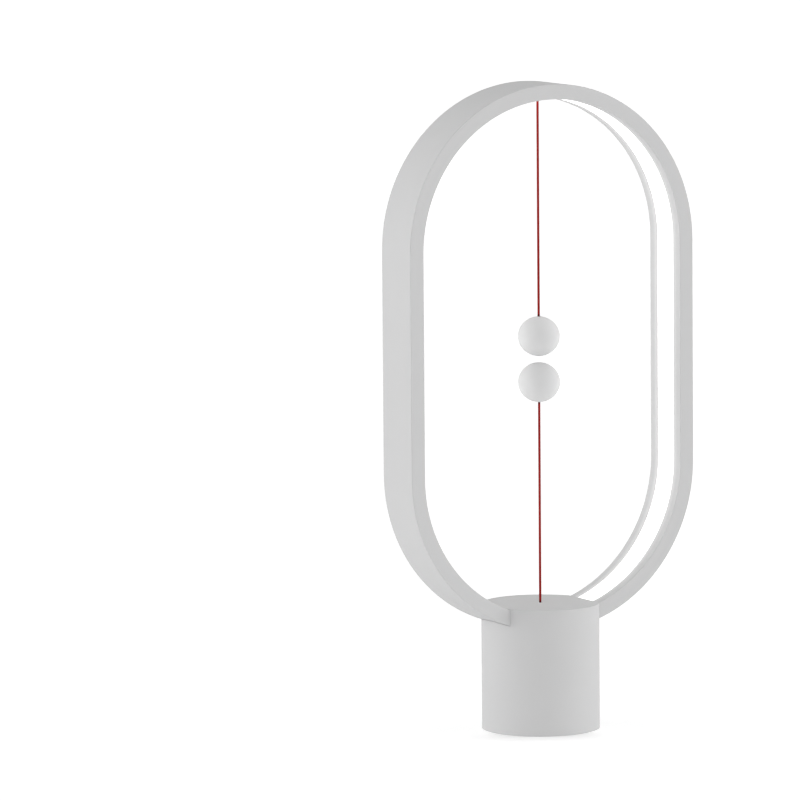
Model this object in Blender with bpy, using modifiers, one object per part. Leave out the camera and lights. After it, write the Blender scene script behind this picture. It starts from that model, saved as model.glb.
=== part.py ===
# Magnetic balance lamp: a stadium-shaped light frame stands in a round base, and two
# magnet balls on cords meet inside it. Metres, +Z up, front towards -Y, origin on the
# table under the middle of the base. The lower ball is shown lifted, with the light on.

import math

import bmesh
import bpy
from mathutils import Matrix, Vector

# Clearances that several pieces share
SEAM = 0.0003
RUNNING_GAP = 0.0004
OVERRUN = 0.0020

# Frame ring: a closed C-section, open on its inner side
FRAME_WIDTH = 0.2000
FRAME_HEIGHT = 0.3374
FRAME_DEPTH = 0.0360
FRAME_THICKNESS = 0.0094
FRAME_WALL = 0.0018
FRAME_EDGE = 0.0005
FRAME_SINK = 0.0154
FRAME_SCREW_SPACING = 0.0240

# Base housing, with the web that carries the frame and the inner parts
BASE_DIAMETER = 0.0730
BASE_HEIGHT = 0.0780
BASE_WALL = 0.0024
BASE_EDGE = 0.0004
BASE_LIFT = 0.0003
RIM_WIDTH = 0.0009
WEB_DEPTH = 0.0300
WEB_THICKNESS = 0.0040
BOSS_RADIUS = 0.0035
BOSS_INSET = 0.0029
BOSS_HEIGHT = 0.0150
BOSS_HOLE_DEPTH = 0.0110

# Top cap, with its two posts
CAP_THICKNESS = 0.0024
CAP_EDGE = 0.0002
CAP_POST_RADIUS = 0.0030
CAP_POST_SPACING = 0.0520

# Base plate, foot pad and counterweight
FOOT_PAD_DIAMETER = 0.0672
FOOT_PAD_THICKNESS = 0.0015
PLATE_THICKNESS = 0.0024
WEIGHT_DIAMETER = 0.0510
WEIGHT_THICKNESS = 0.0140

# Diffuser strip, snapped behind the frame's lips
DIFFUSER_WIDTH = 0.0186
DIFFUSER_RECESS = 0.0002
DIFFUSER_FLANGE_WIDTH = 0.0240
DIFFUSER_FLANGE = 0.0012
DIFFUSER_FOOT_GAP = 0.0400

# LED strips on the channel's floor
STRIP_WIDTH = 0.0100
STRIP_THICKNESS = 0.0006
STRIP_TOP_GAP = 0.0160
STRIP_FOOT_GAP = 0.0520
CHIP_LENGTH = 0.0035
CHIP_WIDTH = 0.0028
CHIP_HEIGHT = 0.0012
CHIP_PITCH = 0.0167
CHIP_ROOT = 0.0002

# Cords, knots and the eyelets that the cords leave
CORD_DIAMETER = 0.0013
CORD_HOLE_RADIUS = 0.00095
KNOT_RADIUS = 0.0015
HANGER_KNOT_RADIUS = 0.0011
HANGER_LENGTH = 0.0080
HANGER_WIDTH = 0.0260
HANGER_THICKNESS = 0.0012
EYELET_FLANGE_RADIUS = 0.0019
EYELET_FLANGE = 0.0008
EYELET_BARREL_RADIUS = 0.00145
EYELET_LENGTH = 0.0032
EYELET_PROUD = 0.0002
PIVOT_DROP = 0.0008

# Balls: turned, a little lower than they are wide
BALL_DIAMETER = 0.0259
BALL_THICKNESS = 0.0246
BALL_GAP = 0.0039
LOWER_BALL_HEIGHT = 0.2151
MAGNET_DIAMETER = 0.0076
MAGNET_LENGTH = 0.0060
BALL_CAP_THICKNESS = 0.0014
KNOT_CHAMBER_RADIUS = 0.0023
KNOT_CHAMBER_DEPTH = 0.0045

# Saddle, plunger and return spring
SADDLE_LENGTH = 0.0400
SADDLE_WIDTH = 0.0260
SADDLE_ROOF = 0.0027
SPRING_BORE_RADIUS = 0.0046
PULL_TRAVEL = 0.0030
STEM_RADIUS = 0.0018
STEM_TOP_GAP = 0.0008
PLUNGER_FLANGE_RADIUS = 0.0042
PLUNGER_FLANGE = 0.0015
PLUNGER_FOOT_RADIUS = 0.0034
PLUNGER_FOOT = 0.0034
FOOT_CHAMBER_RADIUS = 0.0019
FOOT_CHAMBER_DEPTH = 0.0026
SPRING_RADIUS = 0.0030
SPRING_WIRE = 0.0006
SPRING_TURNS = 4

# Micro-switch with its lever
SWITCH_LENGTH = 0.0128
SWITCH_WIDTH = 0.0058
SWITCH_HEIGHT = 0.0065
SWITCH_INNER_X = 0.0052
SWITCH_RIB = 0.0020
SWITCH_RIB_REACH = 0.0005
SWITCH_SCREW_SPACING = 0.0065
SWITCH_SCREW_DROP = 0.0020
TERMINAL_WIDTH = 0.0016
TERMINAL_THICKNESS = 0.0005
TERMINAL_HEIGHT = 0.0025
TERMINAL_SPACING = 0.0040
TERMINAL_GAP = 0.0010
LUG_THICKNESS = 0.0010
LEVER_EYE_RADIUS = 0.0014
LEVER_PIN_RADIUS = 0.0005
LEVER_THICKNESS = 0.0005
LEVER_RISE = 0.0009
LEVER_WIDTH = 0.0032
LEVER_OVERHANG = 0.0026
FORK_WIDTH = 0.0064
FORK_REACH = 0.0040
BUTTON_ARM = 0.0040
BUTTON_RADIUS = 0.0009
BUTTON_LENGTH = 0.0024
BUTTON_OUT = 0.0005

# Control board and the parts on it
BOARD_WIDTH = 0.0290
BOARD_FRONT = 0.0060
BOARD_BACK = 0.0300
BOARD_THICKNESS = 0.0016
BOARD_HEIGHT = 0.0220
BOARD_POST_RADIUS = 0.00275
BOARD_POST_SPACING = 0.0210
BOARD_POST_Y = 0.0220
CHOKE_SIZE = 0.0060
CHOKE_HEIGHT = 0.0030
CHOKE_PLACE = (0.0070, 0.0095)
CONTROL_CHIP_LENGTH = 0.0050
CONTROL_CHIP_WIDTH = 0.0040
CONTROL_CHIP_HEIGHT = 0.0015
CONTROL_CHIP_PLACE = (-0.0075, 0.0060)
CAPACITOR_RADIUS = 0.0031
CAPACITOR_HEIGHT = 0.0054
CAPACITOR_PLACE = (-0.0070, 0.0140)
CAPACITOR_EDGE = 0.0004

# Power socket at the back
SOCKET_WIDTH = 0.0090
SOCKET_HEIGHT = 0.0032
SOCKET_LENGTH = 0.0088
SOCKET_BACK = 0.0352
SOCKET_WALL = 0.0004
SOCKET_DEPTH = 0.0065
SOCKET_EDGE = 0.0010
TONGUE_WIDTH = 0.0066
TONGUE_THICKNESS = 0.0007
TONGUE_SETBACK = 0.0008
SOCKET_MARGIN = 0.0006

# Screws: head radius, head height, shank radius, shank length
FRAME_SCREW = (0.0026, 0.0018, 0.0014, 0.0213)
CAP_SCREW = (0.0024, 0.0014, 0.0013, 0.0110)
BOARD_SCREW = (0.0022, 0.0012, 0.0010, 0.0070)
SWITCH_SCREW = (0.0019, 0.0012, 0.0010, 0.0077)
PLATE_SCREW = (0.0027, 0.0014, 0.0013, 0.0110)
WEIGHT_SCREW = (0.0034, 0.0018, 0.0020, 0.0110)
SCREW_SINK = 0.0001
DRIVE_RADIUS_SHARE = 0.45
DRIVE_DEPTH_SHARE = 0.5

# Leads inside the lamp
WIRE_DIAMETER = 0.0014
WIRE_HOLE_RADIUS = 0.0012
WIRE_SPACING = 0.0450
WIRE_START = 0.0008
WIRE_RISE = 0.0013
WIRE_PAD_X = 0.0126
WIRE_PAD_Y = 0.0015
WIRE_FALL_SHARES = (0.62, 0.34, 0.14)
WIRE_TURN_SHARE = 0.67
SWITCH_LEAD_PAD_Y = 0.0035
SWITCH_LEAD_SWING = 0.0038

# Counts and steps of the meshes
ARC_STEPS = 36
TURN_STEPS = 48
BALL_STEPS = 16
BALL_TURN_STEPS = 32
CAP_DOME_STEPS = 3
SMALL_STEPS = 12
KNOT_STEPS = 6
CORD_STEP_SHARE = 3.0
SPRING_STEPS = 10
BEND_STEPS = 8
BEND_SEGMENTS = 12
SHARP_ANGLE = math.radians(35)
BOSS_ANGLES = (math.radians(30), math.radians(150), math.radians(270))
WELD = 0.000001
MILLIMETRE = 0.001
UNIT = 1.0

# Places worked out from the sizes above
HALF_TURN = math.pi
QUARTER_TURN = math.pi / 2
FRAME_RADIUS = FRAME_WIDTH / 2
FRAME_FOOT_Z = BASE_HEIGHT - FRAME_SINK
TOP_Z = FRAME_FOOT_Z + FRAME_HEIGHT
LOW_CENTRE_Z = FRAME_FOOT_Z + FRAME_RADIUS
HIGH_CENTRE_Z = TOP_Z - FRAME_RADIUS
INNER_RADIUS = FRAME_RADIUS - FRAME_THICKNESS
FLOOR_RADIUS = FRAME_RADIUS - FRAME_WALL
LIP_RADIUS = INNER_RADIUS + FRAME_WALL
SLOT_WIDTH = DIFFUSER_WIDTH + 2 * SEAM
FLANGE_RADIUS = LIP_RADIUS + SEAM
FLANGE_BACK_RADIUS = FLANGE_RADIUS + DIFFUSER_FLANGE
BASE_RADIUS = BASE_DIAMETER / 2
BASE_INNER_RADIUS = BASE_RADIUS - BASE_WALL
WEB_TOP_Z = BASE_HEIGHT - WEB_DEPTH
WEB_LOW_Z = WEB_TOP_Z - WEB_THICKNESS
CAP_LOW_Z = BASE_HEIGHT - CAP_THICKNESS
PLATE_LOW_Z = FOOT_PAD_THICKNESS + SEAM
PLATE_TOP_Z = PLATE_LOW_Z + PLATE_THICKNESS
WEIGHT_LOW_Z = PLATE_TOP_Z + SEAM
WEIGHT_TOP_Z = WEIGHT_LOW_Z + WEIGHT_THICKNESS
BOSS_RING_RADIUS = BASE_INNER_RADIUS - BOSS_INSET
BOARD_TOP_Z = BOARD_HEIGHT + BOARD_THICKNESS
CORD_RADIUS = CORD_DIAMETER / 2
BEND_CLEAR = CORD_RADIUS + SEAM
BALL_RADIUS = BALL_DIAMETER / 2
BALL_REACH = BALL_THICKNESS / 2
UPPER_BALL_HEIGHT = LOWER_BALL_HEIGHT + 2 * BALL_REACH + BALL_GAP
POCKET_RADIUS = MAGNET_DIAMETER / 2 + SEAM
POCKET_FLOOR = BALL_REACH - BALL_CAP_THICKNESS - MAGNET_LENGTH - 2 * SEAM
CHAMBER_FLOOR = POCKET_FLOOR - KNOT_CHAMBER_DEPTH
KNOT_OFFSET = CHAMBER_FLOOR + SEAM + KNOT_RADIUS
UPPER_MOUTH_Z = HIGH_CENTRE_Z + INNER_RADIUS + DIFFUSER_RECESS - EYELET_PROUD
LOWER_MOUTH_Z = BASE_HEIGHT + EYELET_PROUD
UPPER_PIVOT_Z = UPPER_MOUTH_Z - PIVOT_DROP
LOWER_PIVOT_Z = LOWER_MOUTH_Z + PIVOT_DROP + PULL_TRAVEL
SADDLE_TOP_Z = FRAME_FOOT_Z - SEAM
ROOF_LOW_Z = SADDLE_TOP_Z - SADDLE_ROOF
STEM_HOLE_RADIUS = STEM_RADIUS + RUNNING_GAP
PLUNGER_TOP_Z = FRAME_FOOT_Z - STEM_TOP_GAP
PLUNGER_FLANGE_Z = WEB_TOP_Z + PULL_TRAVEL + SEAM
SWITCH_TOP_Z = WEB_LOW_Z - TERMINAL_GAP - TERMINAL_HEIGHT
SWITCH_LOW_Z = SWITCH_TOP_Z - SWITCH_HEIGHT
SWITCH_OUTER_X = SWITCH_INNER_X + SWITCH_LENGTH
LEVER_PIVOT_X = SWITCH_OUTER_X - LEVER_EYE_RADIUS
LEVER_PIVOT_Z = SWITCH_LOW_Z - LEVER_EYE_RADIUS - SEAM
LEVER_TOP_Z = LEVER_PIVOT_Z + LEVER_RISE
LEVER_LOW_Z = LEVER_TOP_Z - LEVER_THICKNESS
FOOT_TOP_Z = LEVER_LOW_Z - SEAM
FOOT_LOW_Z = FOOT_TOP_Z - PLUNGER_FOOT
BUTTON_X = LEVER_PIVOT_X - BUTTON_ARM
BUTTON_LOW_Z = LEVER_TOP_Z + SEAM
SWITCH_SCREW_Z = SWITCH_TOP_Z - SWITCH_SCREW_DROP
SOCKET_LOW_Z = BOARD_TOP_Z + SEAM
WIRE_X = WIRE_SPACING / 2

# Colour, roughness and metallic value of each finish
FINISHES = {
    "frame_grey": ((0.60, 0.60, 0.60), 0.45, 0.0),
    "base_grey": ((0.60, 0.60, 0.60), 0.50, 0.0),
    "milky": ((0.95, 0.95, 0.93), 0.35, 0.0),
    "ball_grey": ((0.66, 0.66, 0.66), 0.40, 0.0),
    "ball_cap": ((0.50, 0.50, 0.50), 0.45, 0.0),
    "red_cord": ((0.30, 0.02, 0.02), 0.80, 0.0),
    "bright_steel": ((0.60, 0.60, 0.62), 0.30, 1.0),
    "dark_steel": ((0.25, 0.25, 0.26), 0.45, 1.0),
    "inner_plastic": ((0.45, 0.45, 0.46), 0.55, 0.0),
    "black_plastic": ((0.03, 0.03, 0.03), 0.45, 0.0),
    "board_green": ((0.03, 0.16, 0.06), 0.40, 0.0),
    "strip_white": ((0.85, 0.85, 0.82), 0.50, 0.0),
    "wire_white": ((0.80, 0.80, 0.80), 0.50, 0.0),
    "foot_rubber": ((0.06, 0.06, 0.06), 0.90, 0.0),
}

for old_object in list(bpy.data.objects):
    bpy.data.objects.remove(old_object, do_unlink=True)

parts = bpy.data.collections.new("magnetic_balance_lamp")
tools = bpy.data.collections.new("cutters")
bpy.context.scene.collection.children.link(parts)
bpy.context.scene.collection.children.link(tools)


def finish_material(name):
    """The material of one finish, made the first time that it is asked for."""
    if name in bpy.data.materials:
        return bpy.data.materials[name]
    colour, roughness, metallic = FINISHES[name]
    material = bpy.data.materials.new(name)
    material.use_nodes = True
    shader = material.node_tree.nodes["Principled BSDF"]
    shader.inputs["Base Color"].default_value = (*colour, UNIT)
    shader.inputs["Roughness"].default_value = roughness
    shader.inputs["Metallic"].default_value = metallic
    material.diffuse_color = (*colour, UNIT)
    return material


def register(name, data, finish):
    """A part, if it has a finish, and otherwise a tool that cuts or joins parts."""
    obj = bpy.data.objects.new(name, data)
    if finish:
        data.materials.append(finish_material(finish))
        parts.objects.link(obj)
    else:
        obj.hide_render = True
        obj.display_type = "WIRE"
        tools.objects.link(obj)
    return obj


def smooth_by_angle(mesh):
    mesh.shade_smooth()
    mesh.set_sharp_from_angle(angle=SHARP_ANGLE)


def from_bmesh(name, bm, finish):
    mesh = bpy.data.meshes.new(name)
    bm.to_mesh(mesh)
    bm.free()
    smooth_by_angle(mesh)
    return register(name, mesh, finish)


def settle(obj):
    """Swaps an object's data for its evaluated mesh, welded, with no modifiers left."""
    graph = bpy.context.evaluated_depsgraph_get()
    mesh = bpy.data.meshes.new_from_object(obj.evaluated_get(graph))
    bm = bmesh.new()
    bm.from_mesh(mesh)
    bmesh.ops.remove_doubles(bm, verts=bm.verts, dist=WELD)
    bm.to_mesh(mesh)
    bm.free()
    return mesh


def box(name, low, high, finish=None):
    """A block between two corners."""
    size = [b - a for a, b in zip(low, high)]
    bm = bmesh.new()
    bmesh.ops.create_cube(bm, size=UNIT, matrix=Matrix.Diagonal((*size, UNIT)))
    obj = from_bmesh(name, bm, finish)
    obj.location = [(a + b) / 2 for a, b in zip(low, high)]
    return obj


def rod(name, start, end, radius, finish=None, end_radius=None, steps=SMALL_STEPS):
    """A round rod or cone from one point to another."""
    start, end = Vector(start), Vector(end)
    run = end - start
    end_radius = radius if end_radius is None else end_radius
    turn = Vector((0, 0, UNIT)).rotation_difference(run).to_matrix().to_4x4()
    bm = bmesh.new()
    bmesh.ops.create_cone(
        bm, cap_ends=True, segments=steps, radius1=radius, radius2=end_radius, depth=run.length, matrix=turn
    )
    obj = from_bmesh(name, bm, finish)
    obj.location = (start + end) / 2
    return obj


def turned(name, profile, finish=None, steps=TURN_STEPS):
    """A profile of (radius, height) points turned round Z: a loop, or a line with both ends on the axis."""
    open_ends = profile[0][0] == 0 and profile[-1][0] == 0
    count = len(profile)
    edges = [(k, k + 1) for k in range(count - 1)]
    if not open_ends:
        edges.append((count - 1, 0))
    mesh = bpy.data.meshes.new(name)
    mesh.from_pydata([(r, 0, z) for r, z in profile], edges, [])
    obj = register(name, mesh, finish)
    screw = obj.modifiers.new("Turn", "SCREW")
    screw.axis = "Z"
    screw.angle = 2 * HALF_TURN
    screw.steps = steps
    screw.render_steps = steps
    screw.use_merge_vertices = True
    screw.merge_threshold = WELD
    solid = settle(obj)
    smooth_by_angle(solid)
    obj.modifiers.clear()
    obj.data = solid
    return obj


def outline(name, loops, depth, finish=None):
    """Closed loops of (x, z) points, filled and given a depth along Y, centred on y = 0."""
    curve = bpy.data.curves.new(name, "CURVE")
    curve.dimensions = "2D"
    curve.fill_mode = "BOTH"
    curve.extrude = depth / 2
    for loop in loops:
        spline = curve.splines.new("POLY")
        spline.points.add(len(loop) - 1)
        for point, (x, z) in zip(spline.points, loop):
            point.co = (x, z, 0, UNIT)
        spline.use_cyclic_u = True
    flat = bpy.data.objects.new(name + "_outline", curve)
    tools.objects.link(flat)
    mesh = settle(flat)
    mesh.transform(Matrix.Rotation(QUARTER_TURN, 4, "X"))
    bpy.data.objects.remove(flat, do_unlink=True)
    smooth_by_angle(mesh)
    return register(name, mesh, finish)


def swept(name, path, section, finish, closed):
    """A section of (outward, depth) points carried along a path of (x, z) points."""
    rail = bpy.data.curves.new(name, "CURVE")
    rail.dimensions = "2D"
    profile = bpy.data.curves.new(name + "_section", "CURVE")
    profile.dimensions = "2D"
    mirrored = [(-u, v) for u, v in section]
    for curve, loop, cyclic in ((rail, path, closed), (profile, mirrored, True)):
        spline = curve.splines.new("POLY")
        spline.points.add(len(loop) - 1)
        for point, (u, v) in zip(spline.points, loop):
            point.co = (u, v, 0, UNIT)
        spline.use_cyclic_u = cyclic
    shape = bpy.data.objects.new(name + "_section", profile)
    line = bpy.data.objects.new(name + "_path", rail)
    for helper in (shape, line):
        tools.objects.link(helper)
    rail.bevel_mode = "OBJECT"
    rail.bevel_object = shape
    rail.use_fill_caps = not closed
    mesh = settle(line)
    mesh.transform(Matrix.Rotation(QUARTER_TURN, 4, "X"))
    for helper in (line, shape):
        bpy.data.objects.remove(helper, do_unlink=True)
    smooth_by_angle(mesh)
    return register(name, mesh, finish)


def tube(name, points, radius, finish, radii=None):
    """A round tube along points, whose radii are shares of the radius."""
    curve = bpy.data.curves.new(name, "CURVE")
    curve.dimensions = "3D"
    curve.bevel_depth = radius
    curve.bevel_resolution = 2
    curve.use_fill_caps = True
    spline = curve.splines.new("POLY")
    spline.points.add(len(points) - 1)
    for k, (point, place) in enumerate(zip(spline.points, points)):
        point.co = (*place, UNIT)
        point.radius = radii[k] if radii else UNIT
    spline.use_smooth = True
    return register(name, curve, finish)


def join(obj, tool, operation="UNION"):
    step = obj.modifiers.new(tool.name, "BOOLEAN")
    step.operation = operation
    step.solver = "EXACT"
    step.object = tool
    return obj


def cut(obj, tool):
    return join(obj, tool, "DIFFERENCE")


def pivot(name, place):
    """An empty on a joint's axis, which holds the pieces that move about it."""
    empty = bpy.data.objects.new(name, None)
    empty.location = place
    parts.objects.link(empty)
    return empty


def hold(empty, *pieces):
    for piece in pieces:
        piece.parent = empty
        piece.location = piece.location - empty.location


def arc(radius, centre_z, first, last):
    """Points (x, z) round a centre on the lamp's axis, from one clockwise angle to another."""
    steps = max(2, round(abs(last - first) / HALF_TURN * ARC_STEPS))
    turns = [first + (last - first) * k / steps for k in range(steps + 1)]
    return [(radius * math.sin(a), centre_z + radius * math.cos(a)) for a in turns]


def stadium(radius):
    upper = arc(radius, HIGH_CENTRE_Z, -QUARTER_TURN, QUARTER_TURN)
    return upper + arc(radius, LOW_CENTRE_Z, QUARTER_TURN, HALF_TURN + QUARTER_TURN)


def stadium_run(radius, first, last):
    """The right-hand side of a stadium, from an angle near its top to one near its foot."""
    upper = arc(radius, HIGH_CENTRE_Z, first, QUARTER_TURN)
    return upper + arc(radius, LOW_CENTRE_Z, QUARTER_TURN, last)


def stadium_place(radius, distance):
    """Where a run down the right-hand side is after a distance from the top: x, z and angle."""
    quarter = radius * QUARTER_TURN
    straight = HIGH_CENTRE_Z - LOW_CENTRE_Z
    if distance < quarter:
        turn = distance / radius
        return radius * math.sin(turn), HIGH_CENTRE_Z + radius * math.cos(turn), turn
    if distance < quarter + straight:
        return radius, HIGH_CENTRE_Z - (distance - quarter), QUARTER_TURN
    turn = (distance - straight) / radius
    return radius * math.sin(turn), LOW_CENTRE_Z + radius * math.cos(turn), turn


def foot_z(radius, x):
    """Height of the frame's lower arc of a radius at a distance from the axis."""
    return LOW_CENTRE_Z - math.sqrt(radius**2 - x**2)


def frame_ring():
    half, slot = FRAME_DEPTH / 2, SLOT_WIDTH / 2
    inside = half - FRAME_WALL
    section = [
        (FRAME_THICKNESS, half - FRAME_EDGE),
        (FRAME_THICKNESS - FRAME_EDGE, half),
        (FRAME_EDGE, half),
        (0, half - FRAME_EDGE),
        (0, slot),
        (FRAME_WALL, slot),
        (FRAME_WALL, inside),
        (FRAME_THICKNESS - FRAME_WALL, inside),
    ]
    section += [(u, -v) for u, v in reversed(section)]
    ring = swept("frame_ring", stadium(INNER_RADIUS), section, "frame_grey", closed=True)
    low, high = FRAME_FOOT_Z - OVERRUN, foot_z(FLOOR_RADIUS, WIRE_X) + OVERRUN
    cut(ring, rod("cut_foot_cord_hole", (0, 0, low), (0, 0, high), CORD_HOLE_RADIUS + RUNNING_GAP))
    for side, word in ((-1, "left"), (1, "right")):
        x = side * FRAME_SCREW_SPACING / 2
        radius = FRAME_SCREW[2] + SEAM
        cut(ring, rod("cut_frame_screw_" + word, (x, 0, low), (x, 0, high), radius))
        x = side * WIRE_X
        cut(ring, rod("cut_wire_" + word, (x, 0, low), (x, 0, high), WIRE_HOLE_RADIUS))


def light_diffuser():
    face_radius = INNER_RADIUS + DIFFUSER_RECESS
    flange, face = DIFFUSER_FLANGE_WIDTH / 2, DIFFUSER_WIDTH / 2
    section = [
        (FLANGE_BACK_RADIUS - face_radius, flange),
        (FLANGE_RADIUS - face_radius, flange),
        (FLANGE_RADIUS - face_radius, face),
        (0, face),
    ]
    section += [(u, -v) for u, v in reversed(section)]
    gap = math.asin(DIFFUSER_FOOT_GAP / 2 / face_radius)
    lower_left = arc(face_radius, LOW_CENTRE_Z, HALF_TURN + gap, HALF_TURN + QUARTER_TURN)
    lower_right = arc(face_radius, LOW_CENTRE_Z, QUARTER_TURN, HALF_TURN - gap)
    upper = arc(face_radius, HIGH_CENTRE_Z, -QUARTER_TURN, QUARTER_TURN)
    strip = swept("light_diffuser", lower_left + upper + lower_right, section, "milky", closed=False)
    face_z = HIGH_CENTRE_Z + face_radius
    seat_z = UPPER_MOUTH_Z + EYELET_FLANGE + SEAM
    wide, narrow = EYELET_FLANGE_RADIUS + SEAM, EYELET_BARREL_RADIUS + SEAM
    cut(strip, rod("cut_upper_seat", (0, 0, face_z - OVERRUN), (0, 0, seat_z), wide))
    back_z = HIGH_CENTRE_Z + FLANGE_BACK_RADIUS
    cut(strip, rod("cut_upper_bore", (0, 0, face_z - OVERRUN), (0, 0, back_z + OVERRUN), narrow))


def led_strip(word, side):
    outer = FLOOR_RADIUS - SEAM
    inner = outer - STRIP_THICKNESS
    first = math.asin(STRIP_TOP_GAP / 2 / outer)
    last = HALF_TURN - math.asin(STRIP_FOOT_GAP / 2 / outer)
    loop = stadium_run(outer, first, last) + stadium_run(inner, first, last)[::-1]
    strip = outline("led_strip_" + word, [[(side * x, z) for x, z in loop]], STRIP_WIDTH, "strip_white")
    start = first * outer + CHIP_PITCH / 2
    end = last * outer + (HIGH_CENTRE_Z - LOW_CENTRE_Z) - CHIP_PITCH / 2
    count = int((end - start) / CHIP_PITCH) + 1
    chip_radius = inner + CHIP_ROOT - (CHIP_HEIGHT + CHIP_ROOT) / 2
    size = (CHIP_LENGTH, CHIP_WIDTH, CHIP_HEIGHT + CHIP_ROOT)
    bm = bmesh.new()
    for k in range(count):
        x, z, turn = stadium_place(outer, start + (end - start) * k / (count - 1))
        inward = Vector((math.sin(turn), 0, math.cos(turn))) * (outer - chip_radius)
        place = Vector((x, 0, z)) - inward
        place.x *= side
        matrix = Matrix.Translation(place) @ Matrix.Rotation(side * turn, 4, "Y")
        bmesh.ops.create_cube(bm, size=UNIT, matrix=matrix @ Matrix.Diagonal((*size, UNIT)))
    join(strip, from_bmesh("add_chips_" + word, bm, None))


def eyelet(name, mouth_z, outward):
    """A turned grommet whose mouth faces along Z, up or down."""
    profile = [
        (EYELET_FLANGE_RADIUS, 0),
        (EYELET_FLANGE_RADIUS, -EYELET_FLANGE),
        (EYELET_BARREL_RADIUS, -EYELET_FLANGE),
        (EYELET_BARREL_RADIUS, -EYELET_LENGTH),
        (CORD_HOLE_RADIUS, -EYELET_LENGTH),
        (CORD_HOLE_RADIUS, 0),
    ]
    grommet = turned(name, profile, "bright_steel", SMALL_STEPS)
    grommet.location.z = mouth_z
    if outward < 0:
        grommet.rotation_euler.x = HALF_TURN
    return grommet


def cord_hanger():
    low_z = HIGH_CENTRE_Z + FLANGE_BACK_RADIUS + SEAM
    top_z = low_z + HANGER_THICKNESS
    low = (-HANGER_LENGTH / 2, -HANGER_WIDTH / 2, low_z)
    plate = box("cord_hanger", low, (HANGER_LENGTH / 2, HANGER_WIDTH / 2, top_z), "inner_plastic")
    hole = rod("cut_hanger_hole", (0, 0, low_z - OVERRUN), (0, 0, top_z + OVERRUN), CORD_HOLE_RADIUS)
    cut(plate, hole)
    return top_z


def cord(name, start_z, end_z, knot_radius=0):
    """A straight cord on the lamp's axis, with a knot centred on its far end if it has one."""
    way = 1 if end_z > start_z else -1
    swell = math.asin(CORD_RADIUS / knot_radius) if knot_radius else 0
    last_z = end_z - way * knot_radius * math.cos(swell) if knot_radius else end_z
    count = max(2, round(abs(last_z - start_z) / (CORD_STEP_SHARE * CORD_DIAMETER)))
    places = [start_z + (last_z - start_z) * k / count for k in range(count + 1)]
    radii = [UNIT] * (count + 1)
    if knot_radius:
        for k in range(1, KNOT_STEPS):
            turn = swell + (HALF_TURN - 2 * swell) * k / KNOT_STEPS
            places.append(end_z - way * knot_radius * math.cos(turn))
            radii.append(knot_radius * math.sin(turn) / CORD_RADIUS)
        places.append(end_z + way * knot_radius * math.cos(swell))
        radii.append(UNIT)
    return tube(name, [(0, 0, z) for z in places], CORD_RADIUS, "red_cord", radii)


def cord_bend(name, place_z):
    """The short bit of cord that bends, a ball as thick as the cord."""
    bm = bmesh.new()
    bmesh.ops.create_uvsphere(bm, u_segments=BEND_SEGMENTS, v_segments=BEND_STEPS, radius=CORD_RADIUS)
    bend = from_bmesh(name, bm, "red_cord")
    bend.location.z = place_z
    return bend


def ball_curve(turns):
    """Points on the ball's outline at angles from its pole."""
    return [(BALL_RADIUS * math.sin(a), BALL_REACH * math.cos(a)) for a in turns]


def ball(word, height, facing):
    """A magnet ball. Its magnet faces up for the lower ball and down for the upper one."""
    first = math.asin(POCKET_RADIUS / BALL_RADIUS)
    sweep = HALF_TURN - math.asin(CORD_HOLE_RADIUS / BALL_RADIUS) - first
    turns = [first + sweep * k / BALL_STEPS for k in range(BALL_STEPS + 1)]
    profile = ball_curve(turns) + [
        (CORD_HOLE_RADIUS, CHAMBER_FLOOR),
        (KNOT_CHAMBER_RADIUS, CHAMBER_FLOOR),
        (KNOT_CHAMBER_RADIUS, POCKET_FLOOR),
        (POCKET_RADIUS, POCKET_FLOOR),
    ]
    shell = turned(word + "_ball", profile, "ball_grey", BALL_TURN_STEPS)
    magnet_low = POCKET_FLOOR + SEAM
    magnet_top = magnet_low + MAGNET_LENGTH
    plug_low = magnet_top + SEAM
    radius = MAGNET_DIAMETER / 2
    edge = math.asin(radius / BALL_RADIUS)
    dome = ball_curve([edge * k / CAP_DOME_STEPS for k in range(CAP_DOME_STEPS + 1)])
    magnet = rod(word + "_magnet", (0, 0, magnet_low), (0, 0, magnet_top), radius, "bright_steel")
    plug = turned(word + "_ball_cap", dome + [(radius, plug_low), (0, plug_low)], "ball_cap", SMALL_STEPS)
    for piece in (shell, magnet, plug):
        piece.location.z = height + facing * piece.location.z
        if facing < 0:
            piece.rotation_euler.x = HALF_TURN
    return shell, magnet, plug


def upper_side():
    """The fixed end of the upper cord, and what swings below it."""
    hanger_top = cord_hanger()
    eyelet("upper_eyelet", UPPER_MOUTH_Z, -1)
    knot_z = hanger_top + SEAM + HANGER_KNOT_RADIUS
    cord("upper_cord_tail", UPPER_PIVOT_Z + BEND_CLEAR, knot_z, HANGER_KNOT_RADIUS)
    swing = pivot("upper_pivot", (0, 0, UPPER_PIVOT_Z))
    bend = cord_bend("upper_cord_bend", UPPER_PIVOT_Z)
    knot_z = UPPER_BALL_HEIGHT - KNOT_OFFSET
    line = cord("upper_cord", UPPER_PIVOT_Z - BEND_CLEAR, knot_z, KNOT_RADIUS)
    hold(swing, bend, line, *ball("upper", UPPER_BALL_HEIGHT, -1))


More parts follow.
